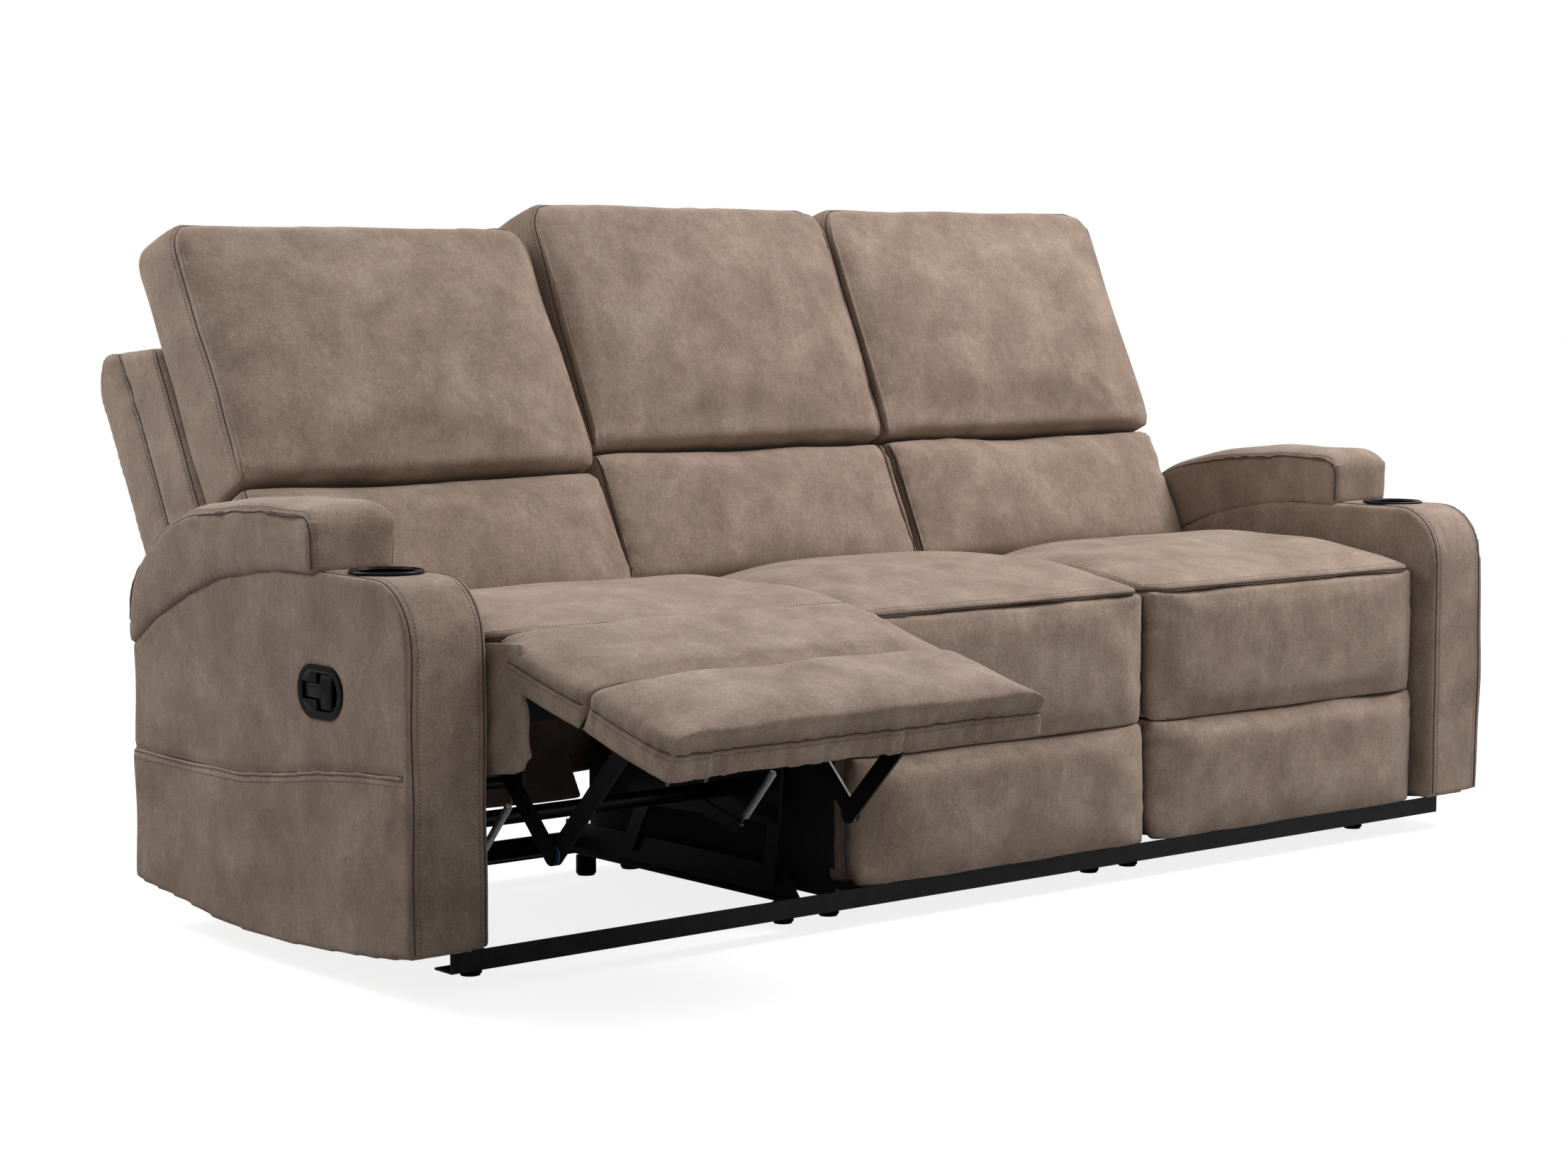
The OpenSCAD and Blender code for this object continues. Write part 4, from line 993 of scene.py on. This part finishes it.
class SOFA_OT_sew_backs(bpy.types.Operator):
    """Seams, gathers and topstitching of the head and lumbar cushions"""
    bl_idname = "sofa.sew_backs"
    bl_label = "Sew the backs"

    def execute(self, context):
        for k, side in enumerate(SIDES):
            sew_head(side, k)
            sew_lumbar(side, k)
        return {"FINISHED"}


def seat_rim(half):
    """A seat's seam: along the sides under the top, and round the front under the lip."""
    r, rear = SEAT.corner, SEAT.rear - 0.02
    turn_in = curve_round((-half + r, SEAT.front + r), r, pi, 1.5 * pi)
    turn_out = curve_round((half - r, SEAT.front + r), r, 1.5 * pi, tau)
    rim = [(-half, rear), (-half, 0.30), *turn_in, *turn_out, (half, 0.30), (half, rear)]
    rim = resample([(x, y, 0) for x, y in rim], 0.006)
    inset = smoothstep(rim[:, 1], 0.03, 0.12)
    rim[:, 2] = (1 - inset) * (SEAT.under_lip + 0.0035) + inset * (seat_top(rim[:, 1]) - SEAT.side_seam)
    return rim


def sew_seat(side, k):
    piece = cover_of(side, "seat", "seat", seat_place)
    uneven(piece.obj, WAVES.seat, 120 + k)
    line, _ = trace(piece.obj, seat_rim(HALF[side]))
    inset = smoothstep(line[:, 1], 0.03, 0.12)
    inward = np.stack([-np.sign(line[:, 0]) * 0.010 * inset, 0.009 * (1 - inset), 0.010 + 0 * inset], 1)
    gather(piece.obj, line, FOLDS.seat_seam, 140 + k)
    sew(piece, line, depth=0.0016, stitch=inward)
    dress(piece, nodes=[f"{side}_seat_cushion"])


def sew_pad(side, k, part, pad):
    """A footrest pad: side seams, gathers along its edges and a stitched toe on the foot pad."""
    half = HALF[side]
    piece = cover_of(side, part, "footrest", hinge_place)
    obj = piece.obj
    uneven(obj, WAVES.pad, 172 + k + (pad is FOOT))
    seam = pad.seam + 0.004
    low, boxing, high = (np.linspace((-half + 0.010, y, z), (half - 0.010, y, z), 90)
                         for y, z in ((seam, pad.low), (0.034, pad.low), (seam, pad.high)))
    if pad is FOOT:
        gather(obj, boxing, FOLDS.foot_edge, 230 + k)
        sew(piece, low, FOLDS.foot_low, 200 + k, 0.0022, (0, 0.006, 0))
    else:
        gather(obj, low, FOLDS.calf_low, 200 + k)
    gather(obj, high, FOLDS.pad_high, 200 + k)
    for x in (-half, half):
        end = np.linspace((x, seam, pad.low + 0.006), (x, seam, pad.high - 0.006), 30)
        sew(piece, end, FOLDS.pad_end, 180 + k, 0.0022, (0, 0.007, 0))
    co = points_of(obj)
    toe = smoothstep(pad.low + 0.040 - co[:, 2], 0, 0.040) * smoothstep(0.016 - co[:, 1], 0, 0.020)
    co[:, 2] = np.clip(co[:, 2] - 0.012 * toe, pad.low - 0.0008, pad.high + 0.001)
    move_points(obj, co)
    solid = "panel" if side == "middle" else "pad"
    dress(piece, nodes=[f"{side}_{part}_{solid}"])


class SOFA_OT_sew_seats(bpy.types.Operator):
    """Seams, gathers and topstitching of the seats and footrest pads"""
    bl_idname = "sofa.sew_seats"
    bl_label = "Sew the seats"

    def execute(self, context):
        for k, side in enumerate(SIDES):
            sew_seat(side, k)
            sew_pad(side, k, "calf", CALF)
            sew_pad(side, k, "foot", FOOT)
        return {"FINISHED"}


def back_cover(side, lean, rearward):
    """A back frame's cover, with its top rear edge cut slanting and its wings plump."""
    obj = from_solid(f"{side}_back_cover", [f"{side}_back_frame"], seat_place(side), GRAIN.back, 4)
    co, out = points_of(obj), normals_of(obj)
    beyond = (co[:, 1:] - REAR_TOP) @ (lean + rearward) + 0.034
    co[:, 1:] -= np.maximum(beyond, 0)[:, None] * (lean + rearward) / 2
    depth = -(co[:, 1:] - REAR_TOP) @ rearward
    sideways = np.abs(out[:, 0])
    plump = roll(depth, 0.050) * roll(np.abs(depth - 0.090), 0.030) * smoothstep(sideways, 0.5, 0.9)
    co[:, 0] += np.sign(co[:, 0]) * 0.0045 * (plump - 0.6 * (sideways > 0.7))
    co[:, 0] = np.clip(co[:, 0], -HALF[side] - EASE, HALF[side] + EASE)
    move_points(obj, co)
    apply_modifier(obj, "SMOOTH", factor=0.5, iterations=3)
    return obj


class SOFA_OT_back_frames(bpy.types.Operator):
    """Upholstered back frames with stitched wings and a seamed outside back"""
    bl_idname = "sofa.back_frames"
    bl_label = "Back frames"

    def execute(self, context):
        lean = np.array([sin(sizes().rake), cos(sizes().rake)])
        rearward = np.array([lean[1], -lean[0]])

        def run(x, behind, first, last, n):
            """A line down the back from first to last, measured from its top rear edge."""
            start_at, end_at = (REAR_TOP + rearward * behind - lean * d for d in (first, last))
            return np.linspace((x, *start_at), (x, *end_at), n)
        for k, side in enumerate(SIDES):
            half, place = HALF[side], seat_place(side)
            piece = Piece(back_cover(side, lean, rearward), body_of(side, "back"), place)
            uneven(piece.obj, WAVES.back, 220 + k)
            to_frame = place.inverted() @ back_place(side)
            for way in (-1, 1):
                wing = run(way * (half - 0.0026), -0.090, -0.06, 0.44, 70)
                sew(piece, wing, FOLDS.back_wing, 224 + k, 0.0024, (0, -0.006, 0), 12)
                topstitch(piece, wing + (0, 0.007, 0))
                beside = [to_frame @ Vector((way * half, HEAD.deep + 0.004, s))
                          for s in np.linspace(0.24, 0.52, 50)]
                sew(piece, beside, stitch=(0, 0.007, 0))
                sew(piece, run(way * (half - 0.045), 0.01, 0.02, 0.66, 80), stitch=(-way * 0.007, 0, 0))
            hem_at = REAR_TOP + rearward * 0.01 - lean * 0.64
            hem = np.linspace((-half, *hem_at), (half, *hem_at), 80)
            sew(piece, hem, FOLDS.back_hem, 240 + k, 0.0024, (0, 0.003, 0.007))
            dress(piece, nodes=[f"{side}_back_frame"])
        return {"FINISHED"}


def arm_edge():
    """[y, z] from an arm's lower front edge, over the top, to the rear."""
    corner = (ARM.corner, ARM.height - ARM.corner)
    front = np.linspace((0, ARM.bottom + 0.004), (0, corner[1]), 40)
    y = np.linspace(ARM.fall, ARM.depth - 0.01, 60)
    drop = np.maximum(0, y - ARM.fall) / (ARM.depth - ARM.fall)
    top = np.stack([y, ARM.height - (ARM.height - ARM.rear) * drop ** 2.5], 1)
    return np.concatenate([front, curve_round(corner, ARM.corner, pi, pi / 2, 12), top])


def at_side(x, outline):
    """[y, z] points set at one x."""
    return np.array([(x, y, z) for y, z in outline])


def sew_arm(side, way):
    """An arm's cover with stitched edges and a corded pocket on its outside."""
    solids = [f"{side}_arm_outer_panel", "arm_bands", "arm_inner_panels"]
    obj = from_solid(f"{side}_arm_cover", solids, ARM_PLACE, GRAIN.arm, 5, -0.0008, way)
    piece = Piece(obj, "root", ARM_PLACE)
    uneven(obj, WAVES.arm, 262 + way)
    pocket = resample(at_side(way * ARM_OUT, POCKET), 0.004)
    co = points_of(obj)
    x, y, z = co.T
    face = np.abs(x) > ARM_OUT - 0.006
    drop = np.interp(y, POCKET[::-1, 0], POCKET[::-1, 1]) - z
    below = face * smoothstep(drop, -0.001, 0.004) * (1 - 0.7 * smoothstep(drop, 0.0, 0.13))
    x += way * 0.0028 * below * smoothstep(y, 0.01, 0.05)
    move_points(obj, co)
    gather(obj, pocket - [0, 0, 0.012], FOLDS.pocket, 270 + way)
    sew(piece, pocket + [0, 0, 0.003], depth=0.0022)
    lay_cord(CORDING, piece, pocket, sizes().cord_radius, 0.0007)
    topstitch(piece, pocket - [0, 0, 0.009])
    for inset, inward in ((0.008, 0.008), (ARM_OUT - ARM_IN - 0.008, -0.008)):
        edge = at_side(way * (ARM_OUT - inset), arm_edge())
        sew(piece, edge, depth=0.0016, stitch=(-way * inward, 0, 0))
    dress(piece, nodes=solids)


def sew_arm_pad(side, way, k):
    """An arm pad's two seams, which follow its own ridge."""
    piece = Piece(bpy.data.objects[f"{side}_arm_pad_cover"], "root", ARM_PLACE)
    uneven(piece.obj, WAVES.arm_pad, 280 + k)
    _, y, z = points_of(piece.obj).T
    bend = PAD.front + 0.030
    along = np.linspace(bend, 0.64, 44)
    ridge = np.array([z[np.abs(y - at) < 0.008].max() for at in along])
    ridge = np.convolve(np.pad(ridge, 4, "edge"), np.ones(9) / 9, "valid")
    front = np.linspace((PAD.front + 0.004, 0.522), (PAD.front + 0.004, ridge[0] - 0.042), 8)
    turn = curve_round((bend, ridge[0] - 0.040), 0.026, pi, pi / 2)
    rear = np.linspace((0.655, ridge[-1] - 0.022), (0.685, 0.42), 10)
    profile = np.concatenate([front, turn, np.stack([along, ridge - 0.014], 1), rear])
    for at, inward in ((PAD.inner + 0.002, 0.007), (PAD.outer - 0.002, -0.007)):
        seam, beside = at_side(way * at, profile), (way * inward, 0, 0.004)
        sew(piece, seam, FOLDS.arm_pad, 290 + k, stitch=beside)
    dress(piece, nodes=[f"{side}_arm_pad"])


class SOFA_OT_arms(bpy.types.Operator):
    """Arm covers: stitched edges and the corded pocket on the outside"""
    bl_idname = "sofa.arms"
    bl_label = "Arms"

    def execute(self, context):
        for k, (side, way) in enumerate(WAY.items()):
            sew_arm(side, way)
            sew_arm_pad(side, way, k)
        return {"FINISHED"}


def seat_gusset():
    """The fabric between the open left seat and its arm."""
    place = seat_place("left")

    def shape(a, b, c):
        y = GUSSET.front + b * (GUSSET.rear - GUSSET.front)
        rounded = 0.018 * (1 - smoothstep(y, GUSSET.front, GUSSET.front + 0.024)) ** 1.5
        low = GUSSET.low + rounded - 0.010 * b
        return -END_HALF + 0.0035 + a * GUSSET.thick, y, low + c * (GUSSET.high - low)
    obj = from_block("left_seat_gusset", 30, shape, GRAIN.gusset, 4)
    co = points_of(obj)
    down = co[:, 1] * 0.55 + co[:, 2]
    sway = 0.0018 * np.sin(down * tau / 0.060 + 3 * np.sin(co[:, 1] * 14)) + 0.0016 * ripples(co, 0.08, 310)
    co[:, 0] += sway * smoothstep(GUSSET.high - co[:, 2], 0.0, 0.04)
    move_points(obj, co)
    dress(Piece(obj, "left_seat", place))
    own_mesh(obj)


def nonwoven_sheet(name, cuts, lay, thick, flip):
    """A sheet stretched on the middle seat's box; lay() gives each point of the unit square its place."""
    across, along = cuts
    obj = start(name, bpy.ops.mesh.primitive_grid_add, x_subdivisions=across, y_subdivisions=along, size=1)
    co = points_of(obj)
    move_points(obj, np.stack(lay(co[:, 0] + 0.5, co[:, 1] + 0.5), 1))
    if flip:
        obj.data.flip_normals()
    apply_modifier(obj, "SOLIDIFY", thickness=thick, offset=1)
    dress(Piece(obj, "root"), "lining")
    return obj


def side_lining(side, way):
    low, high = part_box("middle_side_liners")
    long, tall = high.y - low.y, high.z - low.z

    def lay(a, b):
        y, z = low.y + a * long, low.z + b * tall
        held = np.minimum(np.minimum(y - low.y, high.y - y), np.minimum(z - low.z, high.z - z))
        waves = ripples(np.stack([0 * y, y, z], 1), 0.09, 320 + way, (1, 1, 0.35))
        sag = 0.0012 * waves * smoothstep(held, 0, 0.05)
        return way * (high.x - 0.0010 + np.clip(sag, -0.001, 0.0024)), y, z
    return nonwoven_sheet(f"middle_{side}_lining", (90, 42), lay, 0.0010, way > 0)


def dust_cloth():
    low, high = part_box("middle_seat_box")
    high.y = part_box("middle_side_liners")[1].y - 0.006
    wide, long = high.x - low.x, high.y - low.y

    def lay(a, b):
        x, y = (a - 0.5) * wide, low.y + b * long
        edge = np.minimum(high.x - np.abs(x), np.minimum(y - low.y, high.y - y))
        return x, y, low.z - 0.0004 - 0.0016 * smoothstep(edge, 0, 0.12)
    nonwoven_sheet("middle_dust_cloth", (60, 60), lay, 0.0008, True)


class SOFA_OT_seat_sides(bpy.types.Operator):
    """Fabric wings beside the seats, the open seat's gusset and the middle seat's linings"""
    bl_idname = "sofa.seat_sides"
    bl_label = "Seat sides"

    def execute(self, context):
        for k, side in enumerate(WAY):
            place = seat_place(side)
            obj = from_solid(f"{side}_seat_wing_cover", [f"{side}_seat_wings"], place, GRAIN.wing, 3)
            uneven(obj, WAVES.wing, 300 + k)
            dress(Piece(obj, f"{side}_seat", place), nodes=[f"{side}_seat_wings"])
        seat_gusset()
        linings = [side_lining(side, way) for side, way in WAY.items()]
        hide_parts("middle_side_liners")
        dust_cloth()
        return {"FINISHED"}


# Levers, springs and small parts
SPRING = Measures(radius=0.0046, pitch=0.0025, straight=0.14, pin=0.0025, hook=0.005, hook_wire=0.0018)
CUP_RIMS = ((0.0005, 0.0022, 0.0022, 12), (0.0012, 0.0090, 0.0014, 10))  # sink, inset, wire, sides
HEADS = Measures(  # radius and height of the round heads
    knee=(0.0125, 0.0026), washer=(0.0152, 0.0024), screw=(0.0032, 0.0018), rivet=(0.0042, 0.0022))
KNEE_X = 0.2415
BRACKET_WASHER = [(0.2346, 0.072, -0.215)]
BRACKET_SCREWS = [(x, y, z) for x in (0.2337, 0.2291)
                  for y, z in ((0.066, -0.165), (0.074, -0.188), (0.074, -0.243), (0.070, -0.273),
                               (0.066, -0.304))]
PLATE_RIVETS = [(0.2516, y, z) for y, z in ((0.200, 0.312), (0.260, 0.318), (0.330, 0.300), (0.250, 0.200),
                                            (0.330, 0.180), (0.420, 0.170), (0.460, 0.240), (0.560, 0.300))]


def punched_plate(name, rings, x, thick):
    """A flat plate that stands across x, from [y, z] rings: its outline and its opening."""
    edge = 0.0004
    lines = [([(y, z, 0) for y, z in ring], 1) for ring in rings]
    obj = from_curve(name, lines, True, dimensions="2D", fill_mode="BOTH", extrude=thick / 2 - edge,
                     bevel_depth=edge, bevel_resolution=1)
    obj.data.transform(Matrix(((0, 0, 1, x), (1, 0, 0, 0), (0, 1, 0, 0), (0, 0, 0, 1))))
    edit(bpy.ops.mesh.remove_doubles, threshold=0.00002)
    edit(bpy.ops.mesh.normals_make_consistent, inside=False)
    bpy.ops.object.shade_smooth_by_angle(angle=radians(35))
    return obj


def lever_surround(side, way):
    """The bezel's face: an oval plate round the lever, open at the front for the fingers."""
    low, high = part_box("lever_bezels")
    bar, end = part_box(f"{side}_release_lever")
    my, mz = (low.y + high.y) / 2, (low.z + high.z) / 2
    rim, gap = 0.0072, 0.0012
    tall = (high.z - low.z) / 2 - rim
    wide = (high.y - low.y) / 2 - rim - tall
    stadium = (curve_round((my - wide, mz), tall, pi / 2, 1.5 * pi, 20)
               + curve_round((my + wide, mz), tall, -pi / 2, pi / 2, 20))
    rear, stem, step, half = end.y + gap, 0.010 + gap, bar.y + 0.030 + gap, (end.z - bar.z) / 2 + gap
    reach = bar.y - low.y - 0.0095
    arc = [(bar.y + 0.004 - (reach + 0.004) * sin(t), mz + half * cos(t)) for t in np.linspace(0, pi, 24)]
    opening = [(rear, mz - stem), (rear, mz + stem), (step, mz + stem), (step, mz + half), *arc,
               (step, mz - half), (step, mz - stem)]
    plate = punched_plate(f"{side}_lever_surround", (stadium, opening), way * (high.x - 0.0017), 0.0030)
    dress(Piece(plate, "root"), "black_plastic")


def lever_handle(side):
    """A T of an upright bar and a stem, with soft edges."""
    low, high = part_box(f"{side}_release_lever")
    middle = (low + high) / 2
    stem_long = high.y - low.y - 0.028
    bar = Vector((middle.x, low.y + 0.015, middle.z))
    stem = Vector((middle.x, high.y - 0.001 - stem_long / 2, middle.z))
    blocks = []
    for at, size in ((bar, (0.009, 0.030, high.z - low.z)), (stem, (0.009, stem_long, 0.020))):
        name = f"{side}_lever_handle"
        blocks.append(start(name, bpy.ops.mesh.primitive_cube_add, size=1, location=at, scale=size))
        bpy.ops.object.transform_apply(location=True, scale=True)
    handle, other = blocks
    apply_modifier(handle, "BOOLEAN", object=other, operation="UNION", solver="EXACT")
    bpy.data.objects.remove(other)
    apply_modifier(handle, "BEVEL", width=0.0022, segments=3, limit_method="ANGLE")
    bpy.ops.object.shade_smooth_by_angle(angle=radians(35))
    dress(Piece(handle, f"{side}_lever"), "black_plastic", nodes=[f"{side}_release_lever"])


class SOFA_OT_levers(bpy.types.Operator):
    """Release levers: an upright bar with a stem behind it, in a flat oval face"""
    bl_idname = "sofa.levers"
    bl_label = "Release levers"

    def execute(self, context):
        for side, way in WAY.items():
            lever_handle(side)
            lever_surround(side, way)
        return {"FINISHED"}


def helix(low, high, radius, pitch, sides=14):
    """Points of a coil from low to high, with a straight run at each end."""
    axis = (high - low).normalized()
    across = axis.orthogonal().normalized()
    third = axis.cross(across)
    full = (high - low).length
    first, last = full * SPRING.straight, full * (1 - SPRING.straight)
    turns = (last - first) / pitch
    points = [low, low + axis * (first - radius)]
    for i in range(int(turns * sides) + 1):
        t = i / (turns * sides)
        turn = tau * turns * t
        points.append(low + axis * (first + (last - first) * t) + across * cos(turn) * radius
                      + third * sin(turn) * radius)
    return points + [low + axis * (last + radius), high]


class SOFA_OT_springs(bpy.types.Operator):
    """Return springs wound from wire, with a hook at each end"""
    bl_idname = "sofa.springs"
    bl_label = "Return springs"

    def execute(self, context):
        pin, hook = SPRING.pin, Vector((SPRING.hook, 0, 0))
        for side in WAY:
            low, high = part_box(f"{side}_return_springs")
            paths = []
            for x in (low.x + 0.004, high.x - 0.004):
                top = Vector((x, low.y + pin, high.z - pin))
                foot = Vector((x, high.y - pin, low.z + pin))
                paths.append((helix(foot, top, SPRING.radius, SPRING.pitch), sizes().spring_wire))
                paths += [((end - hook, end + hook), SPRING.hook_wire) for end in (top, foot)]
            coil = Piece(tube(f"{side}_wound_springs", paths, 6), f"{side}_seat")
            dress(coil, "zinc", nodes=[f"{side}_return_springs"])
        return {"FINISHED"}


def button(at, radius, height):
    """A round washer or rivet head with a soft edge, which faces along x."""
    obj = start("button", bpy.ops.mesh.primitive_cylinder_add, vertices=24, radius=radius, depth=height)
    edit(bpy.ops.mesh.bevel, offset=min(radius, height) * 0.3, segments=2, affect="EDGES")
    turn = Vector((0, 0, 1)).rotation_difference(Vector((1, 0, 0))).to_matrix().to_4x4()
    obj.data.transform(Matrix.Translation(at) @ turn)
    bpy.ops.object.shade_smooth()
    return obj


def join(name, objects):
    select_only(objects[0])
    for obj in objects[1:]:
        obj.select_set(True)
    if len(objects) > 1:
        bpy.ops.object.join()
    objects[0].name = objects[0].data.name = name
    return objects[0]


def both_sides(place, spots):
    """Spots [x, y, z] of a part, on its left and on its right."""
    return [place @ Vector((way * x, y, z)) for way in (-1, 1) for x, y, z in spots]


def fasten(name, body, spots, size, look):
    """Nylon washers or zinc rivets on one body, as one piece; size is their radius and height."""
    heads = [button(at, *size) for at in spots]
    dress(Piece(join(name, heads), body), look)


class SOFA_OT_fastenings(bpy.types.Operator):
    """Nylon washers between the links and bright rivets on plates and brackets"""
    bl_idname = "sofa.fastenings"
    bl_label = "Washers and rivets"

    def execute(self, context):
        for side, outward in WAY.items():
            knee = JOINT_AT[f"{side}_long_link_turn"]
            for way, look in ((-1, "blue"), (1, "yellow")):
                at = Vector((outward * END_X + way * KNEE_X, knee.y, knee.z))
                fasten(f"{side}_knee_washer_{look}", f"{side}_swing_link", [at], HEADS.knee, look)
            hinge, footrest = hinge_place(side), f"{side}_footrest"
            washers, screws = both_sides(hinge, BRACKET_WASHER), both_sides(hinge, BRACKET_SCREWS)
            fasten(f"{side}_bracket_washers", footrest, washers, HEADS.washer, "blue")
            fasten(f"{side}_bracket_rivets", footrest, screws, HEADS.screw, "zinc")
            rivets = both_sides(seat_place(side), PLATE_RIVETS)
            fasten(f"{side}_plate_rivets", f"{side}_seat", rivets, HEADS.rivet, "zinc")
        return {"FINISHED"}


class SOFA_OT_cup_rims(bpy.types.Operator):
    """Rolled rims on the cup holders"""
    bl_idname = "sofa.cup_rims"
    bl_label = "Cup rims"

    def execute(self, context):
        low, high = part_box("cup_holders")
        middle = (ARM_IN + ARM_OUT) / 2
        rims = []
        for way in WAY.values():
            for sink, inset, wire, sides in CUP_RIMS:
                at = (way * middle, (low.y + high.y) / 2, high.z - sink)
                radius = high.x - middle - inset
                rims.append(start("rim", bpy.ops.mesh.primitive_torus_add, location=at, major_radius=radius,
                                  minor_radius=wire, major_segments=64, minor_segments=sides))
                bpy.ops.object.transform_apply(location=True)
                bpy.ops.object.shade_smooth()
        dress(Piece(join("cup_rims", rims), "root"), "black_plastic")
        return {"FINISHED"}


def stitching(body, runs):
    """All the topstitches of one body: short ovals that lie along their seams."""
    grain = start("stitch", bpy.ops.mesh.primitive_uv_sphere_add, segments=6, ring_count=4, radius=0.5)
    across, high, along = points_of(grain).T[:, None, :, None]
    faces = [list(f.vertices) for f in grain.data.polygons]
    count = len(grain.data.vertices)
    bpy.data.objects.remove(grain)
    points, ahead, out = (np.concatenate(part) for part in zip(*runs))
    ahead /= np.maximum(np.linalg.norm(ahead, axis=1), 1e-9)[:, None]
    sideways = np.cross(ahead, out)
    sideways /= np.maximum(np.linalg.norm(sideways, axis=1), 1e-9)[:, None]
    verts = (points[:, None] + along * STITCH.long * ahead[:, None]
             + across * STITCH.wide * sideways[:, None]
             + (high * STITCH.high + STITCH.rise) * out[:, None]).reshape(-1, 3)
    every = [[v + i * count for v in face] for i in range(len(points)) for face in faces]
    mesh = bpy.data.meshes.new(f"{body}_stitching")
    mesh.from_pydata(verts.tolist(), [], every)
    obj = add(mesh.name, mesh)
    edit(bpy.ops.mesh.normals_make_consistent, inside=False)
    return obj


class SOFA_OT_threads(bpy.types.Operator):
    """Makes the topstitching, the cording and the dark seam lines of painted shadow that the covers asked
    for
    """
    bl_idname = "sofa.threads"
    bl_label = "Threads and cording"

    def execute(self, context):
        for body, runs in THREADS.items():
            dress(Piece(stitching(body, runs), body), "thread")
        for body, runs in CORDING.items():
            dress(Piece(tube(f"{body}_cording", runs, 8), body))
        # dark tubes of painted shadow in the seams' valleys
        for body, runs in SEAM_SHADOW_LINES.items():
            dress(Piece(tube(f"{body}_seam_shadow_lines", runs, 6), body), "crease")
        return {"FINISHED"}


# Stage
def pale_floor():
    """A pale floor that the camera sees as white."""
    mat = bpy.data.materials.new("pale_floor")
    mat.use_nodes = True
    tree = mat.node_tree
    shader = tree.nodes["Principled BSDF"]
    feed(tree, shader.inputs["Base Color"], STAGE.floor_grey)
    feed(tree, shader.inputs["Roughness"], 0.9)
    seen = node(tree, "LightPath").outputs["Is Camera Ray"]
    strength = node(tree, "Math", {0: seen, 1: STAGE.floor_glow}, operation="MULTIPLY").outputs[0]
    glow = node(tree, "Emission", {"Strength": strength}).outputs[0]
    both = node(tree, "AddShader", {0: shader.outputs[0], 1: glow}).outputs[0]
    feed(tree, tree.nodes["Material Output"].inputs[0], both)
    floor = start("floor", bpy.ops.mesh.primitive_plane_add, size=STAGE.floor_size, location=(0, 0, -0.0005))
    floor.data.materials.append(mat)
    return floor


def studio():
    """A white surround, dimmer for the light that falls on the sofa than for what is seen."""
    world = bpy.data.worlds.new("studio")
    world.use_nodes = True
    tree = world.node_tree
    rays = node(tree, "LightPath").outputs
    shown = rays["Is Camera Ray"]
    for ray in ("Is Transmission Ray", "Is Glossy Ray"):
        shown = node(tree, "Math", {0: shown, 1: rays[ray]}, operation="MAXIMUM").outputs[0]
    level = node(tree, "MapRange", {"Value": shown, "To Min": STAGE.sky, "To Max": 1.0})
    sky = tree.nodes["Background"]
    feed(tree, sky.inputs["Color"], 1)
    feed(tree, sky.inputs["Strength"], level.outputs["Result"])
    return world


class SOFA_OT_stage(bpy.types.Operator):
    """Pale floor, soft lights and the camera"""
    bl_idname = "sofa.stage"
    bl_label = "Stage"

    def execute(self, context):
        scene = context.scene
        pale_floor()
        scene.world = studio()
        for name, (at, target, size, power) in LIGHTS.items():
            bpy.ops.object.light_add(type="AREA", location=at)
            lamp = context.active_object
            lamp.name = name
            lamp.rotation_euler = (Vector(target) - lamp.location).to_track_quat("-Z", "Y").to_euler()
            lamp.data.shape = "SQUARE"
            lamp.data.size = size
            lamp.data.energy = power
        bpy.ops.object.camera_add(location=CAMERA.at, rotation=(pi / 2 - CAMERA.pitch, 0, -CAMERA.yaw))
        scene.camera = context.active_object
        scene.camera.data.sensor_width = STAGE.sensor
        scene.camera.data.lens = CAMERA.lens
        scene.view_settings.view_transform = "Standard"
        return {"FINISHED"}


class SOFA_PT_panel(bpy.types.Panel):
    """Lists the pieces in the order in which they are made"""
    bl_label = "Reclining Sofa"
    bl_idname = "SOFA_PT_panel"
    bl_space_type = "VIEW_3D"
    bl_region_type = "UI"
    bl_category = "Sofa"

    def draw(self, context):
        for group in (sizes(), colours()):
            for name in group.__annotations__:
                self.layout.prop(group, name)
        for step in STEPS:
            self.layout.operator(step.bl_idname)


STEPS = (SOFA_OT_finishes, SOFA_OT_head_cushions, SOFA_OT_lumbar_cushions, SOFA_OT_seat_cushions,
         SOFA_OT_footrest_pads, SOFA_OT_arm_pads, SOFA_OT_fill, SOFA_OT_sew_backs, SOFA_OT_sew_seats,
         SOFA_OT_back_frames, SOFA_OT_arms, SOFA_OT_seat_sides, SOFA_OT_levers, SOFA_OT_springs,
         SOFA_OT_fastenings, SOFA_OT_cup_rims, SOFA_OT_threads, SOFA_OT_stage)
CLASSES = (SofaSizes, SofaColours, *STEPS, SOFA_PT_panel)


def register():
    for cls in CLASSES:
        bpy.utils.register_class(cls)
    bpy.types.Scene.sofa_sizes = PointerProperty(type=SofaSizes)
    bpy.types.Scene.sofa_colours = PointerProperty(type=SofaColours)


def unregister():
    del bpy.types.Scene.sofa_sizes
    del bpy.types.Scene.sofa_colours
    for cls in reversed(CLASSES):
        bpy.utils.unregister_class(cls)


def main():
    register()
    for step in STEPS:
        group, name = step.bl_idname.split(".")
        getattr(getattr(bpy.ops, group), name)()


if __name__ == "__main__":
    main()
